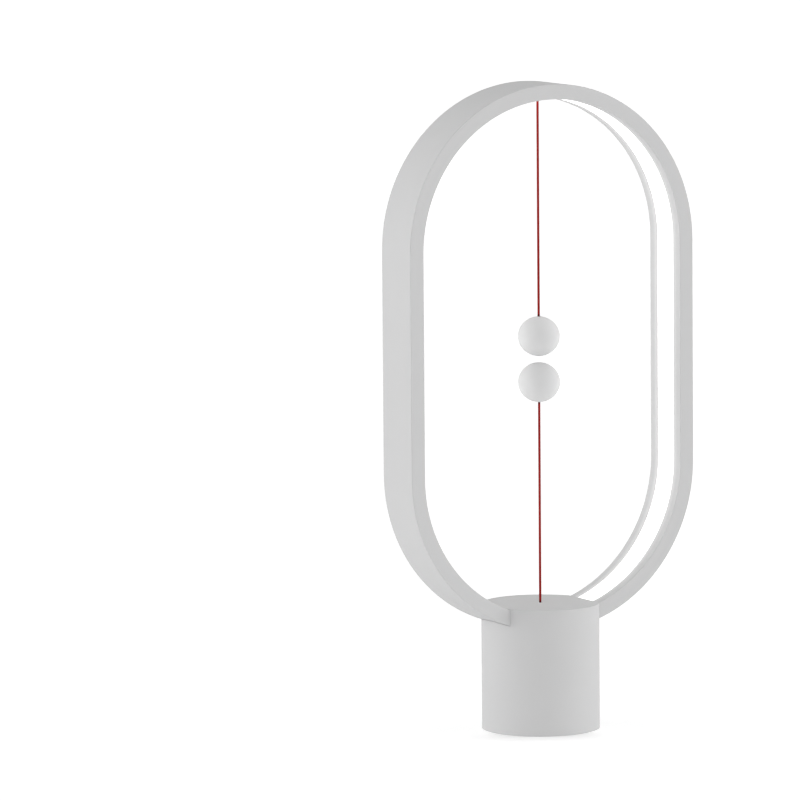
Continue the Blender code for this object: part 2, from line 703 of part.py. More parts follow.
def lower_side():
    """What swings on the lower cord's outlet, and the cord's tail down to the plunger."""
    swing = pivot("lower_pivot", (0, 0, LOWER_PIVOT_Z))
    bend = cord_bend("lower_cord_bend", LOWER_PIVOT_Z)
    knot_z = LOWER_BALL_HEIGHT + KNOT_OFFSET
    line = cord("lower_cord", LOWER_PIVOT_Z + BEND_CLEAR, knot_z, KNOT_RADIUS)
    hold(swing, bend, line, *ball("lower", LOWER_BALL_HEIGHT, 1))
    slide = pivot("pull_axis", (0, 0, PLUNGER_FLANGE_Z))
    knot_z = FOOT_LOW_Z + FOOT_CHAMBER_DEPTH - SEAM - KNOT_RADIUS
    tail = cord("lower_cord_tail", LOWER_PIVOT_Z - BEND_CLEAR, knot_z, KNOT_RADIUS)
    hold(slide, tail, pull_plunger())


def pull_plunger():
    """The bored plunger: a stem, the flange that the spring presses, and a foot with the knot's chamber."""
    flange_top = PLUNGER_FLANGE_Z + PLUNGER_FLANGE
    chamber_top = FOOT_LOW_Z + FOOT_CHAMBER_DEPTH
    profile = [
        (STEM_RADIUS, PLUNGER_TOP_Z),
        (STEM_RADIUS, flange_top),
        (PLUNGER_FLANGE_RADIUS, flange_top),
        (PLUNGER_FLANGE_RADIUS, PLUNGER_FLANGE_Z),
        (STEM_RADIUS, PLUNGER_FLANGE_Z),
        (STEM_RADIUS, FOOT_TOP_Z),
        (PLUNGER_FOOT_RADIUS, FOOT_TOP_Z),
        (PLUNGER_FOOT_RADIUS, FOOT_LOW_Z),
        (FOOT_CHAMBER_RADIUS, FOOT_LOW_Z),
        (FOOT_CHAMBER_RADIUS, chamber_top),
        (CORD_HOLE_RADIUS, chamber_top),
        (CORD_HOLE_RADIUS, PLUNGER_TOP_Z),
    ]
    return turned("pull_plunger", profile, "inner_plastic", SMALL_STEPS)


def return_spring():
    """A coil between the plunger's flange and the saddle's roof."""
    low = PLUNGER_FLANGE_Z + PLUNGER_FLANGE + SEAM + SPRING_WIRE / 2
    high = ROOF_LOW_Z - SEAM - SPRING_WIRE / 2
    count = SPRING_TURNS * SPRING_STEPS
    points = []
    for k in range(count + 1):
        turn = 2 * HALF_TURN * k / SPRING_STEPS
        x, y = SPRING_RADIUS * math.cos(turn), SPRING_RADIUS * math.sin(turn)
        points.append((x, y, low + (high - low) * k / count))
    tube("return_spring", points, SPRING_WIRE / 2, "bright_steel").data.bevel_resolution = 1
    near = SPRING_STEPS - 2
    apart = [math.dist(a, b) for k, a in enumerate(points) for b in points[k + near:]]
    print("return spring: least gap between turns %.2f mm" % ((min(apart) - SPRING_WIRE) / MILLIMETRE))


def frame_saddle():
    low_z = WEB_TOP_Z + SEAM
    half_x, half_y = SADDLE_LENGTH / 2, SADDLE_WIDTH / 2
    high_z = foot_z(FRAME_RADIUS, half_x) + OVERRUN
    block = box("frame_saddle", (-half_x, -half_y, low_z), (half_x, half_y, high_z), "inner_plastic")
    cut(block, outline("cut_saddle_seat", [stadium(FRAME_RADIUS + SEAM)], FRAME_DEPTH))
    cut(block, rod("cut_spring_bore", (0, 0, low_z - OVERRUN), (0, 0, ROOF_LOW_Z), SPRING_BORE_RADIUS))
    cut(block, rod("cut_stem_hole", (0, 0, low_z), (0, 0, high_z), STEM_HOLE_RADIUS))
    for side, word in ((-1, "left"), (1, "right")):
        x = side * FRAME_SCREW_SPACING / 2
        radius = FRAME_SCREW[2] + SEAM
        cut(block, rod("cut_saddle_" + word, (x, 0, low_z - OVERRUN), (x, 0, high_z), radius))


def screw(name, seat, way, size, countersunk=False, finish="bright_steel"):
    """A screw whose head rests at a seat, with its shank running the way of an axis."""
    head_radius, head_height, shank_radius, shank_length = size
    drive_radius, drive_depth = head_radius * DRIVE_RADIUS_SHARE, head_height * DRIVE_DEPTH_SHARE
    if countersunk:
        head = [(head_radius, 0), (shank_radius, -head_height)]
        top = 0
    else:
        head = [(head_radius, head_height), (head_radius, 0), (shank_radius, 0)]
        top = head_height
    profile = [(0, top - drive_depth), (drive_radius, top - drive_depth), (drive_radius, top), *head]
    profile += [(shank_radius, -shank_length), (0, -shank_length)]
    piece = turned(name, profile, finish, SMALL_STEPS)
    piece.rotation_euler = Vector((0, 0, -UNIT)).rotation_difference(Vector(way)).to_euler()
    piece.location = seat
    return piece


def screw_set():
    down, up, back = (0, 0, -UNIT), (0, 0, UNIT), (0, UNIT, 0)
    for side, word in ((-1, "left"), (1, "right")):
        x = FRAME_SCREW_SPACING / 2
        seat_z = foot_z(FLOOR_RADIUS, x + FRAME_SCREW[0]) + SEAM
        screw("frame_screw_" + word, (side * x, 0, seat_z), down, FRAME_SCREW)
        seat = (side * BOARD_POST_SPACING / 2, BOARD_POST_Y, BOARD_HEIGHT - SEAM)
        screw("board_screw_" + word, seat, up, BOARD_SCREW)
    for side, word in ((-1, "front"), (1, "rear")):
        seat = (0, side * CAP_POST_SPACING / 2, WEB_LOW_Z - SEAM)
        screw("cap_screw_" + word, seat, up, CAP_SCREW)
    for k, x in enumerate(switch_screw_places()):
        seat = (x, -SWITCH_WIDTH / 2 - SEAM, SWITCH_SCREW_Z)
        screw("switch_screw_" + ("inner", "outer")[k], seat, back, SWITCH_SCREW)
    for k, turn in enumerate(BOSS_ANGLES):
        place = boss_place(turn)
        seat = (*place, PLATE_LOW_Z + SCREW_SINK)
        screw("plate_screw_%d" % (k + 1), seat, up, PLATE_SCREW, countersunk=True)
    screw("weight_screw", (0, 0, PLATE_LOW_Z + SCREW_SINK), up, WEIGHT_SCREW, countersunk=True)


def switch_screw_places():
    middle = (SWITCH_INNER_X + SWITCH_OUTER_X) / 2
    return middle - SWITCH_SCREW_SPACING / 2, middle + SWITCH_SCREW_SPACING / 2


def boss_place(turn):
    return BOSS_RING_RADIUS * math.cos(turn), BOSS_RING_RADIUS * math.sin(turn)


def base_housing():
    """The round wall with its web, bosses, rib and posts, notched for the frame."""
    ledge_z = CAP_LOW_Z - SEAM
    rebate_radius = BASE_RADIUS - RIM_WIDTH
    bore = STEM_HOLE_RADIUS
    profile = [
        (BASE_RADIUS - BASE_EDGE, BASE_HEIGHT),
        (BASE_RADIUS, BASE_HEIGHT - BASE_EDGE),
        (BASE_RADIUS, BASE_LIFT + BASE_EDGE),
        (BASE_RADIUS - BASE_EDGE, BASE_LIFT),
        (BASE_INNER_RADIUS, BASE_LIFT),
        (BASE_INNER_RADIUS, WEB_LOW_Z),
        (bore, WEB_LOW_Z),
        (bore, WEB_TOP_Z),
        (BASE_INNER_RADIUS, WEB_TOP_Z),
        (BASE_INNER_RADIUS, ledge_z),
        (rebate_radius, ledge_z),
        (rebate_radius, BASE_HEIGHT),
    ]
    housing = turned("base_housing", profile, "base_grey")
    into_web = WEB_LOW_Z + WEB_THICKNESS / 2
    boss_low = PLATE_TOP_Z + SEAM
    for k, turn in enumerate(BOSS_ANGLES):
        x, y = boss_place(turn)
        start, end = (x, y, boss_low), (x, y, boss_low + BOSS_HEIGHT)
        join(housing, rod("add_boss_%d" % k, start, end, BOSS_RADIUS))
    rib_low = (SWITCH_INNER_X, SWITCH_WIDTH / 2 + SEAM, SWITCH_LOW_Z + SWITCH_RIB_REACH)
    rib_high = (SWITCH_OUTER_X, rib_low[1] + SWITCH_RIB, into_web)
    join(housing, box("add_switch_rib", rib_low, rib_high))
    post_low = BOARD_TOP_Z + SEAM
    for side, word in ((-1, "left"), (1, "right")):
        x, y = side * BOARD_POST_SPACING / 2, BOARD_POST_Y
        join(housing, rod("add_board_post_" + word, (x, y, post_low), (x, y, into_web), BOARD_POST_RADIUS))
    notch_depth = FRAME_DEPTH + 2 * SEAM
    cut(housing, outline("cut_notches", [stadium(FRAME_RADIUS + SEAM)], notch_depth))
    below, above = WEB_LOW_Z - OVERRUN, WEB_TOP_Z + OVERRUN
    for side, word in ((-1, "left"), (1, "right")):
        x, radius = side * FRAME_SCREW_SPACING / 2, FRAME_SCREW[2] + SEAM
        cut(housing, rod("cut_web_frame_" + word, (x, 0, below), (x, 0, above), radius))
        x = side * WIRE_X
        cut(housing, rod("cut_web_wire_" + word, (x, 0, below), (x, 0, above), WIRE_HOLE_RADIUS))
        x, y, radius = side * BOARD_POST_SPACING / 2, BOARD_POST_Y, BOARD_SCREW[2] + SEAM
        top = BOARD_HEIGHT + BOARD_SCREW[3] + SEAM
        cut(housing, rod("cut_board_post_" + word, (x, y, post_low - OVERRUN), (x, y, top), radius))
    for side, word in ((-1, "front"), (1, "rear")):
        y, radius = side * CAP_POST_SPACING / 2, CAP_SCREW[2] + SEAM
        cut(housing, rod("cut_web_cap_" + word, (0, y, below), (0, y, above), radius))
    for k, turn in enumerate(BOSS_ANGLES):
        x, y = boss_place(turn)
        start, end = (x, y, boss_low - OVERRUN), (x, y, boss_low + BOSS_HOLE_DEPTH)
        cut(housing, rod("cut_boss_%d" % k, start, end, PLATE_SCREW[2] + SEAM))
    for k, x in enumerate(switch_screw_places()):
        start, end = (x, rib_low[1] - SEAM, SWITCH_SCREW_Z), (x, rib_high[1] + OVERRUN, SWITCH_SCREW_Z)
        cut(housing, rod("cut_rib_%d" % k, start, end, SWITCH_SCREW[2] + SEAM))
    half_width, margin = SOCKET_WIDTH / 2 + SOCKET_MARGIN, SOCKET_MARGIN
    low = (-half_width, BASE_INNER_RADIUS - OVERRUN, SOCKET_LOW_Z - margin)
    high = (half_width, BASE_RADIUS + OVERRUN, SOCKET_LOW_Z + SOCKET_HEIGHT + margin)
    cut(housing, box("cut_socket_window", low, high))


def base_top_cap():
    """The disc between the frame's arms, with two posts down to the web."""
    radius = BASE_RADIUS - RIM_WIDTH - SEAM
    profile = [
        (0, BASE_HEIGHT),
        (radius - CAP_EDGE, BASE_HEIGHT),
        (radius, BASE_HEIGHT - CAP_EDGE),
        (radius, CAP_LOW_Z),
        (0, CAP_LOW_Z),
    ]
    cap = turned("base_top_cap", profile, "base_grey")
    post_low, post_high = WEB_TOP_Z + SEAM, CAP_LOW_Z + CAP_THICKNESS / 2
    for side, word in ((-1, "front"), (1, "rear")):
        y = side * CAP_POST_SPACING / 2
        join(cap, rod("add_cap_post_" + word, (0, y, post_low), (0, y, post_high), CAP_POST_RADIUS))
    clear = [stadium(FRAME_RADIUS + OVERRUN), stadium(INNER_RADIUS - SEAM)]
    cut(cap, outline("cut_cap_arms", clear, FRAME_DEPTH + 2 * SEAM))
    seat_z = LOWER_MOUTH_Z - EYELET_FLANGE - SEAM
    wide, narrow = EYELET_FLANGE_RADIUS + SEAM, EYELET_BARREL_RADIUS + SEAM
    cut(cap, rod("cut_lower_seat", (0, 0, seat_z), (0, 0, BASE_HEIGHT + OVERRUN), wide))
    cut(cap, rod("cut_lower_bore", (0, 0, CAP_LOW_Z - OVERRUN), (0, 0, BASE_HEIGHT), narrow))
    hole_top = WEB_LOW_Z - SEAM + CAP_SCREW[3] + SEAM
    for side, word in ((-1, "front"), (1, "rear")):
        y, radius = side * CAP_POST_SPACING / 2, CAP_SCREW[2] + SEAM
        cut(cap, rod("cut_cap_post_" + word, (0, y, post_low - OVERRUN), (0, y, hole_top), radius))


def countersink(name, place, size):
    """The cutter for a countersunk screw's hole through the base plate."""
    head_radius, head_height, shank_radius, _ = size
    low, turn_in = PLATE_LOW_Z + SCREW_SINK, head_radius + SEAM
    profile = [
        (0, PLATE_TOP_Z + OVERRUN),
        (shank_radius + SEAM, PLATE_TOP_Z + OVERRUN),
        (shank_radius + SEAM, low + head_height),
        (turn_in, low),
        (turn_in, low - OVERRUN),
        (0, low - OVERRUN),
    ]
    tool = turned(name, profile, None, SMALL_STEPS)
    tool.location = (*place, 0)
    return tool


def base_underside():
    """The plate that closes the base, the weight on it and the pad under it."""
    plate_radius = BASE_INNER_RADIUS - SEAM
    steps = TURN_STEPS
    start, end = (0, 0, PLATE_LOW_Z), (0, 0, PLATE_TOP_Z)
    plate = rod("base_plate", start, end, plate_radius, "black_plastic", steps=steps)
    for k, turn in enumerate(BOSS_ANGLES):
        cut(plate, countersink("cut_plate_%d" % k, boss_place(turn), PLATE_SCREW))
    cut(plate, countersink("cut_plate_middle", (0, 0), WEIGHT_SCREW))
    radius = WEIGHT_DIAMETER / 2
    start, end = (0, 0, WEIGHT_LOW_Z), (0, 0, WEIGHT_TOP_Z)
    weight = rod("base_weight", start, end, radius, "dark_steel", steps=steps)
    hole_top = PLATE_LOW_Z + WEIGHT_SCREW[3] + RUNNING_GAP
    cut(weight, rod("cut_weight", (0, 0, PLATE_LOW_Z), (0, 0, hole_top), WEIGHT_SCREW[2] + SEAM))
    radius = FOOT_PAD_DIAMETER / 2
    rod("foot_pad", (0, 0, 0), (0, 0, FOOT_PAD_THICKNESS), radius, "foot_rubber", steps=steps)


def switch():
    """The micro-switch with its button, lever and lever pin."""
    half = SWITCH_WIDTH / 2
    body = box(
        "switch_body",
        (SWITCH_INNER_X, -half, SWITCH_LOW_Z),
        (SWITCH_OUTER_X, half, SWITCH_TOP_Z),
        "black_plastic",
    )
    middle = (SWITCH_INNER_X + SWITCH_OUTER_X) / 2
    for k in (-1, 0, 1):
        x, t, w = middle + k * TERMINAL_SPACING, TERMINAL_THICKNESS / 2, TERMINAL_WIDTH / 2
        low = (x - w, -t, SWITCH_TOP_Z - TERMINAL_GAP)
        join(body, box("add_terminal_%d" % k, low, (x + w, t, SWITCH_TOP_Z + TERMINAL_HEIGHT)))
    lug_low_z = LEVER_PIVOT_Z - LEVER_EYE_RADIUS
    lug_x = LEVER_PIVOT_X - LEVER_EYE_RADIUS
    for side, word in ((-1, "front"), (1, "rear")):
        inner, outer = sorted((side * (half - LUG_THICKNESS), side * half))
        top = (SWITCH_OUTER_X, outer, SWITCH_LOW_Z + SEAM)
        join(body, box("add_lug_" + word, (lug_x, inner, lug_low_z), top))
    reach = half + OVERRUN
    start, end = (LEVER_PIVOT_X, -reach, LEVER_PIVOT_Z), (LEVER_PIVOT_X, reach, LEVER_PIVOT_Z)
    pin_hole = LEVER_PIN_RADIUS + SEAM
    cut(body, rod("cut_lug_holes", start, end, pin_hole))
    for k, x in enumerate(switch_screw_places()):
        start, end = (x, -reach, SWITCH_SCREW_Z), (x, reach, SWITCH_SCREW_Z)
        cut(body, rod("cut_switch_%d" % k, start, end, SWITCH_SCREW[2] + SEAM))
    top = BUTTON_LOW_Z + BUTTON_LENGTH + BUTTON_OUT
    start, end = (BUTTON_X, 0, SWITCH_LOW_Z - OVERRUN), (BUTTON_X, 0, top)
    cut(body, rod("cut_button_hole", start, end, BUTTON_RADIUS + SEAM))
    start, end = (LEVER_PIVOT_X, -half, LEVER_PIVOT_Z), (LEVER_PIVOT_X, half, LEVER_PIVOT_Z)
    rod("switch_lever_pin", start, end, LEVER_PIN_RADIUS, "bright_steel", steps=SMALL_STEPS)
    start, end = (BUTTON_X, 0, BUTTON_LOW_Z), (BUTTON_X, 0, BUTTON_LOW_Z + BUTTON_LENGTH)
    button = rod("switch_button", start, end, BUTTON_RADIUS, "inner_plastic")
    hold(pivot("button_axis", (BUTTON_X, 0, BUTTON_LOW_Z)), button)
    hold(pivot("lever_pivot", (LEVER_PIVOT_X, 0, LEVER_PIVOT_Z)), switch_lever(pin_hole))


def switch_lever(pin_hole):
    """A strip with an eye at its pin and a fork round the plunger's stem."""
    half, fork_half = LEVER_WIDTH / 2, FORK_WIDTH / 2
    low, high = (-LEVER_OVERHANG, -half, LEVER_LOW_Z), (LEVER_PIVOT_X, half, LEVER_TOP_Z)
    lever = box("switch_lever", low, high, "bright_steel")
    low, high = (-LEVER_OVERHANG, -fork_half, LEVER_LOW_Z), (FORK_REACH, fork_half, LEVER_TOP_Z)
    join(lever, box("add_fork", low, high))
    start, end = (LEVER_PIVOT_X, -half, LEVER_PIVOT_Z), (LEVER_PIVOT_X, half, LEVER_PIVOT_Z)
    join(lever, rod("add_eye", start, end, LEVER_EYE_RADIUS))
    reach = half + OVERRUN
    start, end = (LEVER_PIVOT_X, -reach, LEVER_PIVOT_Z), (LEVER_PIVOT_X, reach, LEVER_PIVOT_Z)
    cut(lever, rod("cut_eye", start, end, pin_hole))
    slot = STEM_RADIUS + RUNNING_GAP
    low = (-LEVER_OVERHANG - OVERRUN, -slot, LEVER_LOW_Z - OVERRUN)
    cut(lever, box("cut_fork", low, (slot + RUNNING_GAP, slot, LEVER_TOP_Z + OVERRUN)))
    return lever


def control_board():
    half = BOARD_WIDTH / 2
    low, high = (-half, -BOARD_FRONT, BOARD_HEIGHT), (half, BOARD_BACK, BOARD_TOP_Z)
    board = box("control_board", low, high, "board_green")
    for side, word in ((-1, "left"), (1, "right")):
        x, y = side * BOARD_POST_SPACING / 2, BOARD_POST_Y
        start, end = (x, y, BOARD_HEIGHT - OVERRUN), (x, y, BOARD_TOP_Z + OVERRUN)
        cut(board, rod("cut_board_" + word, start, end, BOARD_SCREW[2] + SEAM))
    seat = BOARD_TOP_Z + SEAM
    on_board("board_choke", CHOKE_PLACE, (CHOKE_SIZE, CHOKE_SIZE, CHOKE_HEIGHT), seat, "dark_steel")
    size = (CONTROL_CHIP_LENGTH, CONTROL_CHIP_WIDTH, CONTROL_CHIP_HEIGHT)
    on_board("board_chip", CONTROL_CHIP_PLACE, size, seat, "black_plastic")
    top = CAPACITOR_HEIGHT
    radius, edge = CAPACITOR_RADIUS, CAPACITOR_EDGE
    profile = [(0, top), (radius - edge, top), (radius, top - edge), (radius, 0), (0, 0)]
    can = turned("board_capacitor", profile, "bright_steel", SMALL_STEPS)
    can.location = (*CAPACITOR_PLACE, seat)


def on_board(name, place, size, seat, finish):
    x, y = place
    low = (x - size[0] / 2, y - size[1] / 2, seat)
    return box(name, low, (x + size[0] / 2, y + size[1] / 2, seat + size[2]), finish)


def power_socket():
    """A metal shell with rounded sides, open to the back, and the tongue inside it."""
    half, front_y = SOCKET_WIDTH / 2, SOCKET_BACK - SOCKET_LENGTH
    top_z = SOCKET_LOW_Z + SOCKET_HEIGHT
    shell = box("power_socket", (-half, front_y, SOCKET_LOW_Z), (half, SOCKET_BACK, top_z), "bright_steel")
    wall = SOCKET_WALL
    low = (-half + wall, SOCKET_BACK - SOCKET_DEPTH, SOCKET_LOW_Z + wall)
    high = (half - wall, SOCKET_BACK + OVERRUN, top_z - wall)
    cavity = box("cut_socket_cavity", low, high)
    for block in (shell, cavity):
        corner = block.modifiers.new("Corners", "BEVEL")
        corner.width = SOCKET_EDGE
        corner.segments = 2
        corner.limit_method = "WEIGHT"
        mark_long_edges(block.data)
    cut(shell, cavity)
    middle_z, thin = (SOCKET_LOW_Z + top_z) / 2, TONGUE_THICKNESS / 2
    low = (-TONGUE_WIDTH / 2, low[1] - SOCKET_WALL, middle_z - thin)
    high = (TONGUE_WIDTH / 2, SOCKET_BACK - TONGUE_SETBACK, middle_z + thin)
    join(shell, box("add_tongue", low, high))


def mark_long_edges(mesh):
    """Gives full bevel weight to the edges that run along Y."""
    weights = mesh.attributes.new("bevel_weight_edge", "FLOAT", "EDGE")
    for edge in mesh.edges:
        a, b = (mesh.vertices[v].co for v in edge.vertices)
        weights.data[edge.index].value = UNIT if a.x == b.x and a.z == b.z else 0


def smooth_route(corners, step):
    """Points a step apart on a smooth curve through the corners."""
    corners = [Vector(c) for c in corners]
    padded = [2 * corners[0] - corners[1], *corners, 2 * corners[-1] - corners[-2]]
    points = []
    for a, b, c, d in zip(padded, padded[1:], padded[2:], padded[3:]):
        count = max(1, round((c - b).length / step))
        for k in range(count):
            t = k / count
            bend, twist = 2 * a - 5 * b + 4 * c - d, 3 * b - a - 3 * c + d
            points.append(b + ((c - a) * t + bend * t**2 + twist * t**3) / 2)
    points.append(corners[-1])
    return [tuple(p) for p in points]


def led_wire(word, side):
    """From a strip's end, out through the frame's floor and the web, down to the board."""
    radius = WIRE_DIAMETER / 2
    start_x = STRIP_FOOT_GAP / 2 - WIRE_START
    channel_z = foot_z(FLOOR_RADIUS, WIRE_X) + WIRE_RISE
    pad_z = BOARD_TOP_Z + SEAM
    fall = WEB_LOW_Z - pad_z
    high, middle, low = WIRE_FALL_SHARES
    corners = [
        (start_x, 0, foot_z(FLOOR_RADIUS, start_x) + WIRE_RISE),
        (WIRE_X + radius, 0, channel_z + SEAM),
        (WIRE_X, 0, channel_z - WIRE_DIAMETER),
        (WIRE_X, 0, WEB_TOP_Z),
        (WIRE_X, 0, WEB_LOW_Z),
        (WIRE_X, 0, pad_z + fall * high),
        (WIRE_PAD_X + (WIRE_X - WIRE_PAD_X) * WIRE_TURN_SHARE, 0, pad_z + fall * middle),
        (WIRE_PAD_X + radius, WIRE_PAD_Y, pad_z + fall * low),
        (WIRE_PAD_X, WIRE_PAD_Y, pad_z),
    ]
    corners = [(side * x, y, z) for x, y, z in corners]
    points = smooth_route(corners, CORD_STEP_SHARE * WIRE_DIAMETER / 2)
    tube("led_wire_" + word, points, radius, "wire_white")


def switch_lead():
    """From the switch's middle terminal round its front, down to the board."""
    x = (SWITCH_INNER_X + SWITCH_OUTER_X) / 2
    radius = WIRE_DIAMETER / 2
    top_z = SWITCH_TOP_Z + TERMINAL_HEIGHT / 2
    front = -SWITCH_WIDTH / 2 - SWITCH_LEAD_SWING
    pad_z = BOARD_TOP_Z + SEAM
    corners = [
        (x, -TERMINAL_THICKNESS / 2 - SEAM, top_z),
        (x, -SWITCH_WIDTH / 2, top_z),
        (x, front + radius, top_z - WIRE_DIAMETER),
        (x, front, SWITCH_SCREW_Z - radius),
        (x, front, SWITCH_LOW_Z),
        (x, -SWITCH_LEAD_PAD_Y - radius, pad_z + 2 * WIRE_DIAMETER),
        (x, -SWITCH_LEAD_PAD_Y, pad_z),
    ]
    tube("switch_lead", smooth_route(corners, CORD_STEP_SHARE * WIRE_DIAMETER / 2), radius, "wire_white")


frame_ring()
light_diffuser()
led_strip("left", -1)
led_strip("right", 1)
upper_side()
lower_side()
return_spring()
frame_saddle()
base_housing()
base_top_cap()
eyelet("lower_eyelet", LOWER_MOUTH_Z, 1)
base_underside()
switch()
control_board()
power_socket()
led_wire("left", -1)
led_wire("right", 1)
switch_lead()
screw_set()
bpy.context.view_layer.update()
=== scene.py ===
import math

import bmesh
import bpy
from mathutils import Matrix, Vector


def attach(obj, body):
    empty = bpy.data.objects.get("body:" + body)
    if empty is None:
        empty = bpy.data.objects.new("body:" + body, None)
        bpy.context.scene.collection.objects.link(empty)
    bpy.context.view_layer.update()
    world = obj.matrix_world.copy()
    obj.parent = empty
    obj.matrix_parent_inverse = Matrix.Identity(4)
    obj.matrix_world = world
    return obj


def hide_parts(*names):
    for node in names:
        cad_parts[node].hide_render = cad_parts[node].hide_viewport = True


# Magnetic balance lamp, metres. The frame's plane is XZ and the camera looks from -Y.

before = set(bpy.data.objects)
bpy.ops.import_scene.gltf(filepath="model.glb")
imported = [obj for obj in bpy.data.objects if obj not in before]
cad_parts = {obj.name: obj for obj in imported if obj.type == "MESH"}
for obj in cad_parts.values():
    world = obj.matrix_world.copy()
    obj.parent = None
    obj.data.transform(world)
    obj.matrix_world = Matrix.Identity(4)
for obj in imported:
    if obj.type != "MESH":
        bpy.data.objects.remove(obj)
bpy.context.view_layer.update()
print("frame loaded,", len(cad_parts), "nodes")

halfTurn = math.pi
quarterTurn = math.pi / 2

cameraSettings = {
    "target": (0, 0, 0.2),
    "azimuth": -29.911,      # degrees round the lamp, 0 looks along +Y
    "elevation": 6.539,
    "distance": 4.639,
    "pan": 1.066,            # degrees off the target, which sits left of the middle
    "tilt": -0.056,
    "roll": -0.437,
    "lens": 338.66,
    "sensor": 36.0,
    "farClip": 120.0,
}


def wayOut(azimuth, elevation):
    # the direction from the lamp to a camera at these angles
    level = math.cos(elevation)
    return Vector((math.sin(azimuth) * level, -math.cos(azimuth) * level, math.sin(elevation)))


def makeCamera():
    s = cameraSettings
    azimuth, elevation = math.radians(s["azimuth"]), math.radians(s["elevation"])
    spot = Vector(s["target"]) + wayOut(azimuth, elevation) * s["distance"]
    azimuth, elevation = azimuth + math.radians(s["pan"]), elevation + math.radians(s["tilt"])
    back = wayOut(azimuth, elevation)
    right = Vector((math.cos(azimuth), math.sin(azimuth), 0))
    up = back.cross(right)
    roll = math.radians(s["roll"])
    rolledRight = right * math.cos(roll) + up * math.sin(roll)
    rolledUp = up * math.cos(roll) - right * math.sin(roll)
    data = bpy.data.cameras.new("photoCamera")
    data.lens = s["lens"]
    data.sensor_width = s["sensor"]
    data.clip_end = s["farClip"]
    camera = bpy.data.objects.new("photoCamera", data)
    bpy.context.scene.collection.objects.link(camera)
    turn = Matrix((rolledRight, rolledUp, back)).transposed().to_4x4()
    camera.matrix_world = Matrix.Translation(spot) @ turn
    bpy.context.scene.camera = camera


makeCamera()
bpy.context.scene.view_settings.view_transform = "Standard"
print("camera set")


# Shader helpers

noiseSpan = (0.3, 0.7)       # most of a noise texture's values lie between these
white = (1, 1, 1, 1)


def startMaterial(name, colour, roughness, metallic=0.0):
    material = bpy.data.materials.new(name)
    material.use_nodes = True
    shader = material.node_tree.nodes["Principled BSDF"]
    shader.inputs["Base Color"].default_value = (*colour, 1)
    shader.inputs["Roughness"].default_value = roughness
    shader.inputs["Metallic"].default_value = metallic
    return material, material.node_tree, shader


def place(tree, kind, **settings):
    node = tree.nodes.new(kind)
    for key, value in settings.items():
        setattr(node, key, value)
    return node


def maths(tree, operation, *terms):
    # each term is a number or another node's output
    node = place(tree, "ShaderNodeMath", operation=operation)
    for socket, term in zip(node.inputs, terms):
        if isinstance(term, (int, float)):
            socket.default_value = term
        else:
            tree.links.new(term, socket)
    return node.outputs["Value"]


def mapped(tree, value, fromSpan, toSpan=(0.0, 1.0), **settings):
    node = place(tree, "ShaderNodeMapRange", **settings)
    for end, number in zip(("From Min", "From Max", "To Min", "To Max"), (*fromSpan, *toSpan)):
        node.inputs[end].default_value = number
    tree.links.new(value, node.inputs["Value"])
    return node.outputs["Result"]


def along(tree, value, axis):
    node = place(tree, "ShaderNodeVectorMath", operation="DOT_PRODUCT")
    node.inputs[1].default_value = axis
    tree.links.new(value, node.inputs[0])
    return node.outputs["Value"]


def splitPlace(tree):
    where = place(tree, "ShaderNodeTexCoord")
    split = place(tree, "ShaderNodeSeparateXYZ")
    tree.links.new(where.outputs["Object"], split.inputs["Vector"])
    return split.outputs


def noise(tree, scale, detail=3.0, stretch=(1, 1, 1)):
    where = place(tree, "ShaderNodeTexCoord")
    mapping = place(tree, "ShaderNodeMapping")
    mapping.inputs["Scale"].default_value = stretch
    texture = place(tree, "ShaderNodeTexNoise")
    texture.inputs["Scale"].default_value = scale
    texture.inputs["Detail"].default_value = detail
    tree.links.new(where.outputs["Object"], mapping.inputs["Vector"])
    tree.links.new(mapping.outputs["Vector"], texture.inputs["Vector"])
    return texture.outputs["Fac"]


def roughen(tree, shader, value, span):
    tree.links.new(mapped(tree, value, noiseSpan, span), shader.inputs["Roughness"])


def blendColours(tree, shader, value, first, second):
    mix = place(tree, "ShaderNodeMix", data_type="RGBA")
    mix.inputs["A"].default_value = (*first, 1)
    mix.inputs["B"].default_value = (*second, 1)
    tree.links.new(value, mix.inputs["Factor"])
    tree.links.new(mix.outputs["Result"], shader.inputs["Base Color"])
    return mix.outputs["Result"]


def bump(tree, shader, value, depth):
    node = place(tree, "ShaderNodeBump")
    node.inputs["Distance"].default_value = depth
    node.inputs["Strength"].default_value = 1.0
    tree.links.new(value, node.inputs["Height"])
    tree.links.new(node.outputs["Normal"], shader.inputs["Normal"])


def tint(colour, factor):
    return tuple(c * factor for c in colour)


# Finishes

mouldedGrey = {
    "colour": (0.600, 0.600, 0.602),
    "mottle": 0.012,         # how far the colour wanders, as a share
    "mottleScale": 60,
    "grainScale": 2600,
    "grainDepth": 0.000012,
    "rough": (0.58, 0.66),
    "specular": 0.04,
}


def mouldedPlastic(name, look, factor=1.0):
    colour = tint(look["colour"], factor)
    material, tree, shader = startMaterial(name, colour, sum(look["rough"]) / 2)
    shader.inputs["Specular IOR Level"].default_value = look.get("specular", 0.5)
    cloud = noise(tree, look["mottleScale"])
    blendColours(tree, shader, cloud, tint(colour, 1 - look["mottle"]), tint(colour, 1 + look["mottle"]))
    grain = noise(tree, look["grainScale"], 2.0)
    roughen(tree, shader, grain, look["rough"])
    bump(tree, shader, grain, look["grainDepth"])
    return material


# painted glow on the lips beside the lit strip
litLip = {
    "from": 0.0096,          # half the slot's width, where the glow is strongest
    "reach": 0.0052,
    "glow": 0.11,
}


